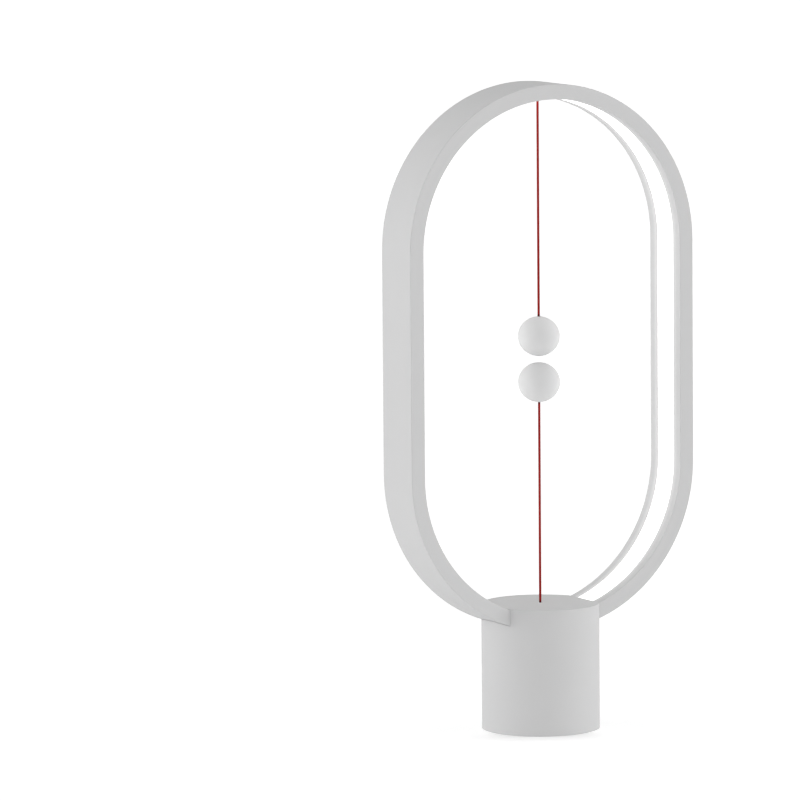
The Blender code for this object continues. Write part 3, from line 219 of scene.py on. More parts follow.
def paintedLipGlowMaterial():
    # painted glow: the lips' faces glow beside the slot, strongest at its edge and fading outwards, in
    # place of the strip's light falling on them
    look = litLip
    material = mouldedPlastic("litLip", mouldedGrey)
    tree = material.node_tree
    shader = tree.nodes["Principled BSDF"]
    offset = maths(tree, "ABSOLUTE", splitPlace(tree)["Y"])
    span = (look["from"], look["from"] + look["reach"])
    glow = mapped(tree, offset, span, (look["glow"], 0.0), interpolation_type="SMOOTHSTEP")
    shader.inputs["Emission Color"].default_value = white
    tree.links.new(glow, shader.inputs["Emission Strength"])
    return material


milkyStrip = {
    "colour": (0.95, 0.95, 0.94),
    "glow": (1.0, 0.995, 0.985),
    "glowStrength": 1.15,
    "rough": (0.30, 0.42),
    "frostScale": 1800,
    "frostDepth": 0.00001,
}


def milkyPlastic():
    look = milkyStrip
    material, tree, shader = startMaterial("milkyStrip", look["colour"], sum(look["rough"]) / 2)
    frost = noise(tree, look["frostScale"], 2.0)
    roughen(tree, shader, frost, look["rough"])
    bump(tree, shader, frost, look["frostDepth"])
    shader.inputs["Emission Color"].default_value = (*look["glow"], 1)
    shader.inputs["Emission Strength"].default_value = look["glowStrength"]
    return material


redBraid = {
    "dark": (0.190, 0.008, 0.009),
    "bright": (0.380, 0.017, 0.014),
    "tip": (0.110, 0.007, 0.009),            # darker for a short length at each height in tipZ, where the cord enters its holes
    "tipZ": (0.3906, 0.2559, 0.2028, 0.0782),
    "tipLength": (0.0008, 0.0017),
    "strands": 6,            # strands each way round the cord
    "pitch": 0.0030,         # length of cord in one turn of a strand
    "crown": (-0.2, 1.0),    # the part of a strand's wave that takes the bright colour
    "depth": 0.00006,
    "rough": 0.78,
    "sheen": 0.02,
    "specular": 0.10,
}


def braidedCord():
    look = redBraid
    material, tree, shader = startMaterial("redBraid", look["bright"], look["rough"])
    shader.inputs["Sheen Weight"].default_value = look["sheen"]
    shader.inputs["Specular IOR Level"].default_value = look["specular"]
    where = place(tree, "ShaderNodeUVMap", uv_map="alongCord")
    split = place(tree, "ShaderNodeSeparateXYZ")
    tree.links.new(where.outputs["UV"], split.inputs["Vector"])
    turns = look["strands"] * 2 * halfTurn
    waves = []
    for way in (-1, 1):
        slope = maths(tree, "MULTIPLY", split.outputs["Y"], way * turns / look["pitch"])
        total = maths(tree, "MULTIPLY_ADD", split.outputs["X"], turns, slope)
        waves.append(maths(tree, "SINE", total))
    level = mapped(tree, maths(tree, "MAXIMUM", *waves), look["crown"])
    braid = blendColours(tree, shader, level, look["dark"], look["bright"])
    bump(tree, shader, level, look["depth"])
    height = splitPlace(tree)["Z"]
    nearest = None
    for z in look["tipZ"]:
        away = maths(tree, "ABSOLUTE", maths(tree, "SUBTRACT", height, z))
        nearest = maths(tree, "MINIMUM", nearest, away) if nearest else away
    tipped = place(tree, "ShaderNodeMix", data_type="RGBA")
    tipped.inputs["A"].default_value = (*look["tip"], 1)
    tree.links.new(mapped(tree, nearest, look["tipLength"]), tipped.inputs["Factor"])
    tree.links.new(braid, tipped.inputs["B"])
    tree.links.new(tipped.outputs["Result"], shader.inputs["Base Color"])
    return material


brightMetal = {
    "colour": (0.62, 0.62, 0.63),
    "tints": (0.90, 1.08),   # the colour's darkest and lightest share
    "rough": (0.22, 0.36),
    "brushScale": 900,
    "stretch": (1, 1, 8),
    "depth": 0.000006,
}
darkMetal = {
    "colour": (0.20, 0.20, 0.21),
    "tints": (0.90, 1.08),
    "rough": (0.42, 0.60),
    "brushScale": 500,
    "stretch": (1, 1, 1),
    "depth": 0.00002,
}


def worksMetal(name, look):
    material, tree, shader = startMaterial(name, look["colour"], sum(look["rough"]) / 2, 1.0)
    grain = noise(tree, look["brushScale"], 4.0, look["stretch"])
    roughen(tree, shader, grain, look["rough"])
    dark, light = look["tints"]
    blendColours(tree, shader, grain, tint(look["colour"], dark), tint(look["colour"], light))
    bump(tree, shader, grain, look["depth"])
    return material


circuitGreen = {
    "mask": (0.020, 0.130, 0.050),
    "track": (0.045, 0.230, 0.090),
    "trackScale": 260,
    "trackWidth": 0.09,      # as a share of a cell
    "rough": 0.35,
    "coat": 0.3,
    "depth": 0.00003,
}


def circuitBoard():
    look = circuitGreen
    material, tree, shader = startMaterial("circuitGreen", look["mask"], look["rough"])
    shader.inputs["Coat Weight"].default_value = look["coat"]
    where = place(tree, "ShaderNodeTexCoord")
    cells = place(tree, "ShaderNodeTexVoronoi", feature="DISTANCE_TO_EDGE")
    cells.inputs["Scale"].default_value = look["trackScale"]
    tree.links.new(where.outputs["Object"], cells.inputs["Vector"])
    edge = maths(tree, "LESS_THAN", cells.outputs["Distance"], look["trackWidth"])
    blendColours(tree, shader, edge, look["mask"], look["track"])
    bump(tree, shader, edge, look["depth"])
    return material


insidePlastic = {
    "inner_plastic": {
        "colour": (0.45, 0.45, 0.46), "mottle": 0.02, "mottleScale": 80,
        "grainScale": 2200, "grainDepth": 0.00002, "rough": (0.50, 0.62),
    },
    "black_plastic": {
        "colour": (0.028, 0.028, 0.030), "mottle": 0.10, "mottleScale": 90,
        "grainScale": 2400, "grainDepth": 0.00002, "rough": (0.38, 0.52),
    },
    "strip_white": {
        "colour": (0.84, 0.84, 0.81), "mottle": 0.02, "mottleScale": 300,
        "grainScale": 3000, "grainDepth": 0.00001, "rough": (0.42, 0.52),
    },
    "wire_white": {
        "colour": (0.78, 0.78, 0.78), "mottle": 0.03, "mottleScale": 200,
        "grainScale": 2600, "grainDepth": 0.00001, "rough": (0.40, 0.50),
    },
    "foot_rubber": {
        "colour": (0.050, 0.050, 0.052), "mottle": 0.15, "mottleScale": 400,
        "grainScale": 1500, "grainDepth": 0.00012, "rough": (0.82, 0.95),
    },
}
ballShare = 1.14             # the balls are a touch lighter than the frame

finishes = {
    "frame_grey": mouldedPlastic("frameGrey", mouldedGrey),
    "base_grey": mouldedPlastic("baseGrey", mouldedGrey),
    "ball_grey": mouldedPlastic("ballGrey", mouldedGrey, ballShare),
    "ball_cap": mouldedPlastic("ballCap", mouldedGrey, ballShare),
    "milky": milkyPlastic(),
    "red_cord": braidedCord(),
    "bright_steel": worksMetal("brightSteel", brightMetal),
    "dark_steel": worksMetal("darkSteel", darkMetal),
    "board_green": circuitBoard(),
}
for slotName, look in insidePlastic.items():
    firstWord, secondWord = slotName.split("_")
    finishes[slotName] = mouldedPlastic(firstWord + secondWord.title(), look)
print("finishes made:", len(finishes))


# Mesh helpers

smoothAngle = 40             # degrees between faces that still shade as one
onAxis = 1e-7                # a turned point this close to the axis is a pole


def shaded(piece):
    # smooth over rounded edges, with large faces kept flat
    piece.data.shade_smooth()
    piece.data.set_sharp_from_angle(angle=math.radians(smoothAngle))
    if not piece.modifiers:
        step = piece.modifiers.new("flatFaces", "WEIGHTED_NORMAL")
        step.keep_sharp = True
    return piece


def meshObject(name, bm):
    bmesh.ops.recalc_face_normals(bm, faces=bm.faces)
    mesh = bpy.data.meshes.new(name)
    bm.to_mesh(mesh)
    bm.free()
    made = bpy.data.objects.new(name, mesh)
    bpy.context.scene.collection.objects.link(made)
    return made


def addPiece(name, bm, slotName, body, nodes):
    piece = meshObject(name, bm)
    piece.data.materials.append(finishes[slotName])
    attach(piece, body)
    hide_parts(*nodes)
    return shaded(piece)


def softened(corners, steps=3):
    # corners are (u, v) or (u, v, radius); a radius rounds that corner of the closed outline
    points = []
    count = len(corners)
    for k, corner in enumerate(corners):
        here = Vector(corner[:2])
        radius = corner[2] if len(corner) > 2 else 0
        if not radius:
            points.append(tuple(here))
            continue
        before = Vector(corners[k - 1][:2]) - here
        after = Vector(corners[(k + 1) % count][:2]) - here
        first, last = here + before.normalized() * radius, here + after.normalized() * radius
        for j in range(steps + 1):
            t = j / steps
            points.append(tuple(first * (1 - t) ** 2 + here * 2 * t * (1 - t) + last * t ** 2))
    return points


def turnedMesh(bm, outline, steps, centre=(0, 0, 0), flip=False):
    # an outline of (radius, height) turned round Z; points on the axis become poles
    way = -1 if flip else 1
    rings = []
    for radius, height in outline:
        z = centre[2] + way * height
        if radius < onAxis:
            rings.append([bm.verts.new((centre[0], centre[1], z))])
            continue
        ring = []
        for k in range(steps):
            turn = 2 * halfTurn * k / steps
            x, y = radius * math.cos(turn), radius * math.sin(turn)
            ring.append(bm.verts.new((centre[0] + x, centre[1] + y, z)))
        rings.append(ring)
    pairs = list(zip(rings, rings[1:]))
    if len(rings[0]) > 1 and len(rings[-1]) > 1:
        pairs.append((rings[-1], rings[0]))
    for a, b in pairs:
        for k in range(steps):
            n = (k + 1) % steps
            if len(a) == 1 and len(b) == 1:
                continue
            if len(a) == 1:
                bm.faces.new((a[0], b[k], b[n]))
            elif len(b) == 1:
                bm.faces.new((a[k], b[0], a[n]))
            else:
                bm.faces.new((a[k], b[k], b[n], a[n]))


def turnedPiece(name, outline, steps, slotName, body, nodes, centre=(0, 0, 0), flip=False):
    bm = bmesh.new()
    turnedMesh(bm, outline, steps, centre, flip)
    return addPiece(name, bm, slotName, body, nodes)


def stadiumStations(first=-halfTurn, last=halfTurn):
    # places round the frame as (centre height, x direction, z direction), clockwise from the foot
    p = framePlace
    bends = [
        (p["lowZ"], first, -quarterTurn),
        (p["highZ"], -quarterTurn, quarterTurn),
        (p["lowZ"], quarterTurn, last),
    ]
    stations = []
    for centreZ, start, end in bends:
        steps = max(2, round((end - start) / halfTurn * p["arcSteps"]))
        for k in range(steps + 1):
            turn = start + (end - start) * k / steps
            stations.append((centreZ, math.sin(turn), math.cos(turn)))
    return stations


def sideFaces(bm, pairs):
    # a face between each two neighbours of two rings that have as many points
    for a, b in pairs:
        for k in range(len(a)):
            n = (k + 1) % len(a)
            bm.faces.new((a[k], a[n], b[n], b[k]))


def sweptMesh(bm, stations, outline, loop=True):
    # an outline of (radius, y) carried round the frame, as a loop or with two ends
    rings = []
    for centreZ, dirX, dirZ in (stations[:-1] if loop else stations):
        rings.append([bm.verts.new((dirX * r, y, centreZ + dirZ * r)) for r, y in outline])
    sideFaces(bm, zip(rings, rings[1:] + rings[:1]) if loop else zip(rings, rings[1:]))
    if not loop:
        bm.faces.new(rings[0])
        bm.faces.new(rings[-1])


def prismMesh(bm, outline, halfDepth):
    # an outline of (x, z) with its thickness along Y
    rings = [[bm.verts.new((x, y, z)) for x, z in outline] for y in (-halfDepth, halfDepth)]
    sideFaces(bm, [rings])
    for ring in rings:
        bm.faces.new(ring)


def blockMesh(bm, low, high, edge=0.0):
    made = bmesh.ops.create_cube(bm, size=1.0)
    size = [b - a for a, b in zip(low, high)]
    middle = [(a + b) / 2 for a, b in zip(low, high)]
    bmesh.ops.scale(bm, vec=size, verts=made["verts"])
    bmesh.ops.translate(bm, vec=middle, verts=made["verts"])
    if edge:
        edges = list({e for v in made["verts"] for e in v.link_edges})
        bmesh.ops.bevel(bm, geom=edges, offset=edge, segments=2, profile=0.5, affect="EDGES")


def carve(piece, build):
    # cuts what build makes out of a piece, and keeps the result as its mesh
    bm = bmesh.new()
    build(bm)
    cutter = meshObject("cutter", bm)
    mesh = cutter.data
    piece.modifiers.clear()
    step = piece.modifiers.new("carve", "BOOLEAN")
    step.operation = "DIFFERENCE"
    step.solver = "EXACT"
    step.object = cutter
    graph = bpy.context.evaluated_depsgraph_get()
    carved = bpy.data.meshes.new_from_object(piece.evaluated_get(graph))
    piece.modifiers.clear()
    old, piece.data = piece.data, carved
    bpy.data.objects.remove(cutter, do_unlink=True)
    bpy.data.meshes.remove(mesh)
    bpy.data.meshes.remove(old)
    return shaded(piece)


def join(piece, build):
    # adds the solids that build makes to a piece's mesh
    bm = bmesh.new()
    bm.from_mesh(piece.data)
    build(bm)
    bm.to_mesh(piece.data)
    bm.free()
    shaded(piece)


def drill(bm, x, y, low, high, radius, steps=24):
    turnedMesh(bm, [(0, low), (radius, low), (radius, high), (0, high)], steps, (x, y, 0))


# Frame ring and its light strip

framePlace = {
    "radius": 0.1000,
    "thickness": 0.0094,
    "depth": 0.0360,
    "wall": 0.0018,
    "lowZ": 0.1626,          # centres of the two arcs
    "highZ": 0.3000,
    "slot": 0.0192,          # the open width between the two lips
    "outerRound": 0.0006,
    "lipRound": 0.0004,
    "arcSteps": 96,
    "cordHole": 0.00135,
    "screwHole": (0.0120, 0.0017),           # place to each side of the foot, and radius
    "wireHole": (0.0225, 0.0012),
    "holeReach": (0.0606, 0.0690),
    "lipFaces": 0.0001,      # faces this close to the opening are the lips'
}


def frameRing():
    p = framePlace
    outer, inner = p["radius"], p["radius"] - p["thickness"]
    half, slot, wall = p["depth"] / 2, p["slot"] / 2, p["wall"]
    side = [
        (outer, half, p["outerRound"]),
        (inner, half, p["lipRound"]),
        (inner, slot, p["lipRound"]),
        (inner + wall, slot),
        (inner + wall, half - wall, p["outerRound"]),
        (outer - wall, half - wall, p["outerRound"]),
    ]
    other = [(corner[0], -corner[1], *corner[2:]) for corner in reversed(side)]
    bm = bmesh.new()
    sweptMesh(bm, stadiumStations(), softened(side + other))
    ring = addPiece("frameRing", bm, "frame_grey", "lamp", ["frame_ring"])

    def holes(cut):
        low, high = p["holeReach"]
        drill(cut, 0, 0, low, high, p["cordHole"])
        for x, radius in (p["screwHole"], p["wireHole"]):
            drill(cut, -x, 0, low, high, radius)
            drill(cut, x, 0, low, high, radius)

    carve(ring, holes)
    # the lips' inner faces take the painted glow
    ring.data.materials.append(paintedLipGlowMaterial())
    for face in ring.data.polygons:
        spots = [ring.data.vertices[v].co for v in face.vertices]
        near = [max(p["lowZ"], min(p["highZ"], spot.z)) for spot in spots]
        reach = max(math.hypot(spot.x, spot.z - z) for spot, z in zip(spots, near))
        if reach < inner + p["lipFaces"]:
            face.material_index = 1


stripPlace = {
    "face": 0.0908,          # radius of the lit face
    "faceWidth": 0.0186,
    "faceRound": 0.0005,
    "flange": (0.0927, 0.0939),
    "flangeWidth": 0.0240,
    "footGap": 0.0200,       # open this far to each side of the foot
    "mouth": 0.3906,         # height of the upper eyelet's face
    "seat": (0.0022, 0.0011),                # the eyelet's seat: radius and depth
    "bore": 0.00175,
    "seatSteps": 48,
    "cutBelow": 0.003,       # the cuts for the eyelet begin and end clear of the strip
    "cutAbove": 0.008,
    "boreBelow": 0.001,
}


def lightStrip():
    p = stripPlace
    face, flange = p["faceWidth"] / 2, p["flangeWidth"] / 2
    low, high = p["flange"]
    side = [(high, flange), (low, flange), (low, face), (p["face"], face, p["faceRound"])]
    other = [(corner[0], -corner[1], *corner[2:]) for corner in reversed(side)]
    last = halfTurn - math.asin(p["footGap"] / p["face"])
    bm = bmesh.new()
    sweptMesh(bm, stadiumStations(-last, last), softened(side + other), loop=False)
    strip = addPiece("lightStrip", bm, "milky", "lamp", ["light_diffuser"])

    def seat(cut):
        under, top = p["mouth"] - p["cutBelow"], p["mouth"] + p["cutAbove"]
        radius, depth = p["seat"]
        drill(cut, 0, 0, under, p["mouth"] + depth, radius, p["seatSteps"])
        drill(cut, 0, 0, under - p["boreBelow"], top, p["bore"], p["seatSteps"])

    carve(strip, seat)


frameRing()
lightStrip()
print("frame ring and light strip made")


# Eyelets, cords, balls

eyeletPlace = {
    "flange": (0.0019, 0.0008),              # radius and thickness
    "barrel": 0.00145,
    "length": 0.0032,
    "bore": 0.00095,
    "round": 0.00035,
    "turnSteps": 48,
    "lowerMouth": 0.0782,
    "upperMouth": 0.3906,
}


def eyelets():
    p = eyeletPlace
    wide, thick = p["flange"]
    outline = softened([
        (wide, 0, p["round"]),
        (wide, -thick),
        (p["barrel"], -thick),
        (p["barrel"], -p["length"]),
        (p["bore"], -p["length"]),
        (p["bore"], 0, p["round"]),
    ], 4)
    for name, node, z, flip in (
        ("upperEyelet", "upper_eyelet", p["upperMouth"], True),
        ("lowerEyelet", "lower_eyelet", p["lowerMouth"], False),
    ):
        turnedPiece(name, outline, p["turnSteps"], "bright_steel", "lamp", [node], (0, 0, z), flip)


cordPlace = {
    "diameter": 0.0015,      # the braid is a little fuller than its core
    "sides": 14,
    "step": 0.0011,
    "endTurns": (0.25, 0.65, 1.1, quarterTurn),              # rings of the round end on the pivot
    "knot": 0.0015,
    "hangerKnot": 0.0011,
    "knotSteps": 10,
    "bendShare": 0.99,       # the bend's ball keeps just inside the cords' round ends
    "bendSteps": 12,
    "bendSides": 20,
    "pathSteps": 24,
    "upperPivot": 0.3898,
    "lowerPivot": 0.0820,
    "hangerKnotZ": 0.3968,
    "plungerKnotZ": 0.0298,
    "upperKnotZ": 0.2420,
    "lowerKnotZ": 0.2167,
}


def cordRun(name, startZ, endZ, knot, body, nodes):
    # starts in a round end on its pivot and ends in a knot; the map runs round and along it
    p = cordPlace
    radius, sides, knotSteps = p["diameter"] / 2, p["sides"], p["knotSteps"]
    way = 1 if endZ > startZ else -1
    rings = [(startZ - way * radius * math.cos(t), radius * math.sin(t)) for t in p["endTurns"]]
    swell = math.asin(radius / knot)
    neck = endZ - way * knot * math.cos(swell)
    count = round(abs(neck - startZ) / p["step"])
    rings += [(startZ + (neck - startZ) * k / count, radius) for k in range(1, count + 1)]
    for k in range(1, knotSteps):
        turn = swell + (halfTurn - 2 * swell) * k / knotSteps
        rings.append((endZ - way * knot * math.cos(turn), knot * math.sin(turn)))
    rings.append((endZ + way * knot * math.cos(swell), radius))
    bm = bmesh.new()
    layer = bm.loops.layers.uv.new("alongCord")
    turns = [2 * halfTurn * k / sides for k in range(sides)]
    made = [[bm.verts.new((r * math.cos(t), r * math.sin(t), z)) for t in turns] for z, r in rings]
    for j, (a, b) in enumerate(zip(made, made[1:])):
        for k in range(sides):
            n = (k + 1) % sides
            face = bm.faces.new((a[k], a[n], b[n], b[k]))
            spots = ((k, j), (k + 1, j), (k + 1, j + 1), (k, j + 1))
            for loop, (u, v) in zip(face.loops, spots):
                loop[layer].uv = (u / sides, abs(rings[v][0] - startZ))
    bm.faces.new(made[0])
    bm.faces.new(made[-1])
    return addPiece(name, bm, "red_cord", body, nodes)


def cordBend(name, z, body, node):
    p = cordPlace
    radius = p["diameter"] / 2 * p["bendShare"]
    turns = [halfTurn * k / p["bendSteps"] for k in range(p["bendSteps"] + 1)]
    outline = [(radius * math.sin(t), -radius * math.cos(t)) for t in turns]
    return turnedPiece(name, outline, p["bendSides"], "red_cord", body, [node], (0, 0, z))


def cords():
    p = cordPlace
    upper, lower, knot = p["upperPivot"], p["lowerPivot"], p["knot"]
    upperLine = cordRun("upperCord", upper, p["upperKnotZ"], knot, "upper_pendulum", ["upper_cord"])
    upperBend = cordBend("upperCordBend", upper, "upper_bend", "upper_cord_bend")
    upperTail = cordRun("upperCordTail", upper, p["hangerKnotZ"], p["hangerKnot"], "lamp",
                        ["upper_cord_tail"])
    lowerLine = cordRun("lowerCord", lower, p["lowerKnotZ"], knot, "lower_pendulum", ["lower_cord"])
    lowerBend = cordBend("lowerCordBend", lower, "lower_bend", "lower_cord_bend")
    lowerTail = cordRun("lowerCordTail", lower, p["plungerKnotZ"], knot, "cord_pull",
                        ["lower_cord_tail"])


ballPlace = {
    "radius": 0.01295,
    "reach": 0.0123,         # half the height, a little less than the radius
    "upperZ": 0.2436,
    "lowerZ": 0.2151,
    "cordHole": 0.00095,
    "chamber": (0.0023, -0.0002),            # radius, and height of its floor
    "pocket": (0.0041, 0.0043),
    "cap": (0.0038, 0.0109),
    "edgeRound": 0.00015,
    "turnSteps": 112,
    "ringSteps": 60,
    "capTurnSteps": 64,
    "capRingSteps": 10,
}


def ballCurve(first, last, steps):
    p = ballPlace
    turns = [first + (last - first) * k / steps for k in range(steps + 1)]
    return [(p["radius"] * math.sin(t), p["reach"] * math.cos(t)) for t in turns]


def balls():
    p = ballPlace
    chamberRadius, chamberFloor = p["chamber"]
    pocketRadius, pocketFloor = p["pocket"]
    capRadius, capLow = p["cap"]
    first = math.asin(pocketRadius / p["radius"])
    last = halfTurn - math.asin(p["cordHole"] / p["radius"])
    shell = ballCurve(first, last, p["ringSteps"])
    shell[0] = (*shell[0], p["edgeRound"])
    shell[-1] = (*shell[-1], p["edgeRound"])
    shell += [
        (p["cordHole"], chamberFloor),
        (chamberRadius, chamberFloor),
        (chamberRadius, pocketFloor),
        (pocketRadius, pocketFloor),
    ]
    cap = ballCurve(0, math.asin(capRadius / p["radius"]), p["capRingSteps"])
    cap[0] = (0, p["reach"])
    cap[-1] = (*cap[-1], p["edgeRound"])
    cap += [(capRadius, capLow), (0, capLow)]
    shellOutline, capOutline = softened(shell), softened(cap)
    for word, z, flip in (("upper", p["upperZ"], True), ("lower", p["lowerZ"], False)):
        body, middle = word + "_pendulum", (0, 0, z)
        turnedPiece(word + "Ball", shellOutline, p["turnSteps"], "ball_grey",
                    body, [word + "_ball"], middle, flip)
        turnedPiece(word + "BallCap", capOutline, p["capTurnSteps"], "ball_cap",
                    body, [word + "_ball_cap"], middle, flip)


eyelets()
cords()
balls()
print("eyelets, cords and balls made")


# Base

basePlace = {
    "radius": 0.0365,
    "inner": 0.0341,
    "height": 0.0780,
    "lift": 0.00002,         # the wall ends this far above the table
    "topRound": 0.0003,
    "footRound": 0.00012,
    "rebate": 0.0356,        # inside of the rim round the cap
    "ledge": 0.0753,
    "web": (0.0440, 0.0480),
    "bore": 0.0022,
    "turnSteps": 192,
    "notchDepth": 0.0363,
    "notchRadius": 0.10015,
    "notchReach": 0.045,
    "notchTop": 0.09,
    "notchSteps": 40,
    "window": (0.0051, 0.0233, 0.0277),      # half its width, and its heights
    "windowY": (0.0321, 0.0385),
    "webHoles": ((0.0120, 0, 0.0017), (0.0225, 0, 0.0012), (0, 0.0260, 0.0016)),
    "cutPast": 0.002,
    "bossRing": 0.0312,
    "bossTurns": (30, 150, 270),
    "boss": (0.0045, 0.0195, 0.0035, 0.0016, 0.0110),        # low, high, radius, hole, its depth
    "boardPostAt": (0.0105, 0.0220),
    "boardPost": (0.0239, 0.0450, 0.00275, 0.0013, 0.0054),
    "switchRib": ((0.0052, 0.0032, 0.0345), (0.0180, 0.0052, 0.0450)),
}


def footArc(radius, x):
    return framePlace["lowZ"] - math.sqrt(radius ** 2 - x ** 2)


def hollowPost(bm, x, y, low, high, radius, hole, depth):
    # a post with a blind hole up into its lower end
    end = low + depth
    outline = [(hole, low), (radius, low), (radius, high), (0, high), (0, end), (hole, end)]
    turnedMesh(bm, outline, 32, (x, y, 0))


def baseHousing():
    p = basePlace
    webLow, webHigh = p["web"]
    outline = softened([
        (p["radius"], p["height"], p["topRound"]),
        (p["radius"], p["lift"], p["footRound"]),
        (p["inner"], p["lift"]),
        (p["inner"], webLow),
        (p["bore"], webLow),
        (p["bore"], webHigh),
        (p["inner"], webHigh),
        (p["inner"], p["ledge"]),
        (p["rebate"], p["ledge"]),
        (p["rebate"], p["height"]),
    ], 4)
    housing = turnedPiece("baseHousing", outline, p["turnSteps"], "base_grey", "lamp", ["base_housing"])

    def notches(cut):
        steps, reach, top = p["notchSteps"], p["notchReach"], p["notchTop"]
        line = [-reach + 2 * reach * k / steps for k in range(steps + 1)]
        arc = [(x, footArc(p["notchRadius"], x)) for x in line]
        prismMesh(cut, arc + [(reach, top), (-reach, top)], p["notchDepth"] / 2)

    def openings(cut):
        half, low, high = p["window"]
        front, back = p["windowY"]
        blockMesh(cut, (-half, front, low), (half, back, high))
        for side in (-1, 1):
            for x, y, radius in p["webHoles"]:
                drill(cut, side * x, side * y, webLow - p["cutPast"], webHigh + p["cutPast"], radius)

    def posts(bm):
        for angle in p["bossTurns"]:
            turn = math.radians(angle)
            hollowPost(bm, p["bossRing"] * math.cos(turn), p["bossRing"] * math.sin(turn), *p["boss"])
        x, y = p["boardPostAt"]
        for side in (-1, 1):
            hollowPost(bm, side * x, y, *p["boardPost"])
        blockMesh(bm, *p["switchRib"])

    carve(housing, notches)
    carve(housing, openings)
    join(housing, posts)


capPlace = {
    "radius": 0.03557,
    "low": 0.0756,
    "round": 0.00012,
    "armRadius": 0.0903,     # the frame's arms pass outside this arc
    "armReach": 0.045,
    "armSteps": 12,
    "cutPast": 0.001,
    "seat": (0.0771, 0.0800, 0.0022),        # low, high, radius
    "bore": (0.0700, 0.0790, 0.00175),
    "seatSteps": 48,
    "postAt": 0.0260,
    "post": (0.0483, 0.0766, 0.0030, 0.0016, 0.0067),        # low, high, radius, hole, its depth
}


def topCap():
    p = capPlace
    height = basePlace["height"]
    outline = softened([
        (0, height),
        (p["radius"], height, p["round"]),
        (p["radius"], p["low"]),
        (0, p["low"]),
    ])
    cap = turnedPiece("topCap", outline, basePlace["turnSteps"], "base_grey", "lamp", ["base_top_cap"])

    def clearance(cut):
        low, high, steps = p["low"] - p["cutPast"], height + p["cutPast"], p["armSteps"]
        levels = [low + (high - low) * k / steps for k in range(steps + 1)]
        reach = [math.sqrt(p["armRadius"] ** 2 - (framePlace["lowZ"] - z) ** 2) for z in levels]
        for side in (-1, 1):
            arc = [(side * x, z) for x, z in zip(reach, levels)]
            far = side * p["armReach"]
            prismMesh(cut, arc + [(far, high), (far, low)], basePlace["notchDepth"] / 2)

    def seat(cut):
        drill(cut, 0, 0, *p["seat"], p["seatSteps"])
        drill(cut, 0, 0, *p["bore"], p["seatSteps"])

    def posts(bm):
        for side in (-1, 1):
            hollowPost(bm, 0, side * p["postAt"], *p["post"])

    carve(cap, clearance)
    carve(cap, seat)
    join(cap, posts)


padPlace = {
    "radius": 0.0336,
    "thickness": 0.0015,
    "round": 0.0004,
    "groove": (0.0290, 0.0300),
    "grooveDepth": 0.0003,
    "grooveRound": 0.0001,
    "turnSteps": 144,
}


def footPad():
    p = padPlace
    inner, outer = p["groove"]
    deep, small = p["grooveDepth"], p["grooveRound"]
    outline = softened([
        (0, 0),
        (inner, 0, small),
        (inner, deep, small),
        (outer, deep, small),
        (outer, 0, small),
        (p["radius"], 0, p["round"]),
        (p["radius"], p["thickness"], p["round"]),
        (0, p["thickness"]),
    ])
    turnedPiece("footPad", outline, p["turnSteps"], "foot_rubber", "lamp", ["foot_pad"])


socketPlace = {
    "half": 0.0045,          # half its width
    "y": (0.0264, 0.0352),
    "z": (0.0239, 0.0271),
    "wall": 0.0004,
    "depth": 0.0065,
    "round": 0.0012,
    "cornerSteps": 6,
    "tongue": (0.0033, 0.0007, 0.0008),      # half its width, thickness, how far it is set back
    "tongueEdge": 0.0001,
}


def powerSocket():
    p = socketPlace
    front, back = p["y"]
    low, high = p["z"]
    middle, half, tall = (low + high) / 2, p["half"], (high - low) / 2

    def loopAt(grow, radius):
        w, h = half - grow, tall - grow
        corners = [(w, h, radius), (-w, h, radius), (-w, -h, radius), (w, -h, radius)]
        return softened(corners, p["cornerSteps"])

    outside, inside = loopAt(0, p["round"]), loopAt(p["wall"], p["round"] - p["wall"])
    floor = back - p["depth"]
    lip = p["wall"] / 3
    layers = [
        (front, outside),
        (back - lip, outside),
        (back, loopAt(lip, p["round"] - lip)),
        (back, loopAt(p["wall"] - lip / 2, p["round"] - p["wall"] + lip / 2)),
        (back - lip, inside),
        (floor, inside),
    ]
    bm = bmesh.new()
    rings = [[bm.verts.new((x, y, middle + z)) for x, z in loop] for y, loop in layers]
    sideFaces(bm, zip(rings, rings[1:]))
    bm.faces.new(rings[0])
    bm.faces.new(rings[-1])
    addPiece("socketShell", bm, "bright_steel", "lamp", ["power_socket"])
    wide, thick, setback = p["tongue"]
    bm = bmesh.new()
    lowCorner, highCorner = (-wide, floor, middle - thick / 2), (wide, back - setback, middle + thick / 2)
    blockMesh(bm, lowCorner, highCorner, p["tongueEdge"])
    addPiece("socketTongue", bm, "black_plastic", "lamp", ["power_socket"])


baseHousing()
topCap()
footPad()
powerSocket()
print("base made")


# The CAD's own inner pieces keep their shapes and take the finishes above

def dressInside():
    for name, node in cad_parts.items():
        for slot in node.material_slots:
            label = slot.material.name if slot.material else ""
            found = [key for key in finishes if label.startswith(key)]
            if found:
                slot.material = finishes[max(found, key=len)]
            else:
                print("no finish for", name, label)


dressInside()


# Floor and world

studio = {
    "floorColour": (0.90, 0.90, 0.90),
    "floorRough": 0.9,
    "floorGlow": 0.22,       # the table is lit from below
    "floorLift": 0.15,       # light that only the camera and reflections see on the floor
    "contactShade": 0.60,    # what that loses close to the base, on the side of the camera
    "contactReach": 0.045,
    "contactFront": (0.45, 0.90),            # and how much of that, by the direction from the axis
    "contactSamples": 16,
    "floorSize": 16.0,
    "floorDrop": 0.00003,    # keeps it clear of the foot pad's face
    "level": 0.60,           # the world's strength, before what the next three add
    "flanks": 3.60,          # towards both sides of the photograph
    "flankPower": 4.00,      # how closely that keeps to the sides
    "overhead": -0.05,       # straight up
    "behind": -0.10,         # behind the lamp, and as much less in front of it
    "sideAxis": (0.867, -0.499, 0.0),
    "behindAxis": (0.499, 0.867, 0.0),
}


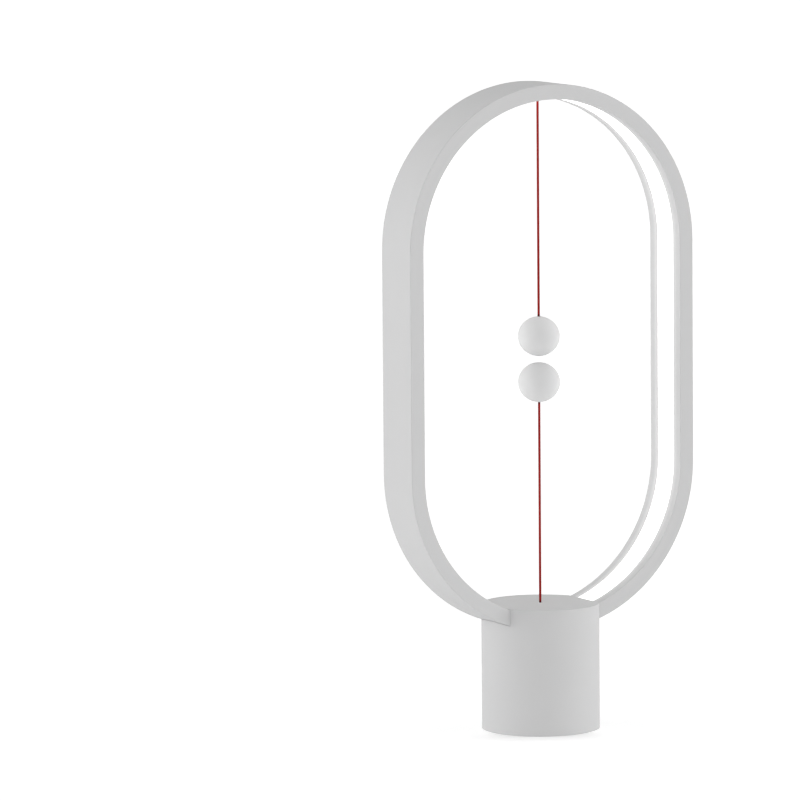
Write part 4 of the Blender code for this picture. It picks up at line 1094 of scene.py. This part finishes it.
def contactGlow(tree):
    # what the floor's glow keeps of its lift, beside the base on the side of the camera
    look = studio
    near = place(tree, "ShaderNodeAmbientOcclusion", samples=look["contactSamples"])
    near.inputs["Distance"].default_value = look["contactReach"]
    full = look["contactShade"]
    shade = maths(tree, "MULTIPLY_ADD", near.outputs["AO"], -full, full)
    where = place(tree, "ShaderNodeTexCoord")
    way = place(tree, "ShaderNodeVectorMath", operation="NORMALIZE")
    tree.links.new(where.outputs["Object"], way.inputs[0])
    forward = along(tree, way.outputs["Vector"], [-share for share in look["behindAxis"]])
    front = mapped(tree, forward, look["contactFront"], interpolation_type="SMOOTHSTEP")
    return maths(tree, "SUBTRACT", look["floorLift"], maths(tree, "MULTIPLY", shade, front))


def floorPlane():
    look = studio
    bm = bmesh.new()
    bmesh.ops.create_grid(bm, x_segments=2, y_segments=2, size=look["floorSize"])
    floor = meshObject("studioFloor", bm)
    floor.location.z = -look["floorDrop"]
    material, tree, shader = startMaterial("studioFloor", look["floorColour"], look["floorRough"])
    shader.inputs["Specular IOR Level"].default_value = 0.0
    path = place(tree, "ShaderNodeLightPath")
    seen = maths(tree, "MAXIMUM", path.outputs["Is Camera Ray"], path.outputs["Is Glossy Ray"])
    glow = maths(tree, "MULTIPLY_ADD", seen, contactGlow(tree), look["floorGlow"])
    shader.inputs["Emission Color"].default_value = white
    tree.links.new(glow, shader.inputs["Emission Strength"])
    floor.data.materials.append(material)


def studioWorld():
    look = studio
    world = bpy.data.worlds.new("studioWorld")
    bpy.context.scene.world = world
    world.use_nodes = True
    tree = world.node_tree
    background = tree.nodes["Background"]
    background.inputs["Color"].default_value = white
    where = place(tree, "ShaderNodeTexCoord").outputs["Generated"]
    split = place(tree, "ShaderNodeSeparateXYZ")
    tree.links.new(where, split.inputs["Vector"])
    total = look["level"]
    for source, share, power in (
        (along(tree, where, look["sideAxis"]), look["flanks"], look["flankPower"]),
        (split.outputs["Z"], look["overhead"], 1.0),
        (along(tree, where, look["behindAxis"]), look["behind"], 0.0),
    ):
        if power:
            square = maths(tree, "MULTIPLY", source, source)
            source = maths(tree, "POWER", square, power)
        total = maths(tree, "MULTIPLY_ADD", source, share, total)
    path = place(tree, "ShaderNodeLightPath")
    seen = path.outputs["Is Camera Ray"]
    for name in ("Is Glossy Ray", "Is Transmission Ray"):
        seen = maths(tree, "MAXIMUM", seen, path.outputs[name])
    mix = place(tree, "ShaderNodeMix", data_type="FLOAT")
    mix.inputs["B"].default_value = 1.0
    tree.links.new(seen, mix.inputs["Factor"])
    tree.links.new(total, mix.inputs["A"])
    tree.links.new(mix.outputs["Result"], background.inputs["Strength"])


floorPlane()
studioWorld()
print("floor and world made")
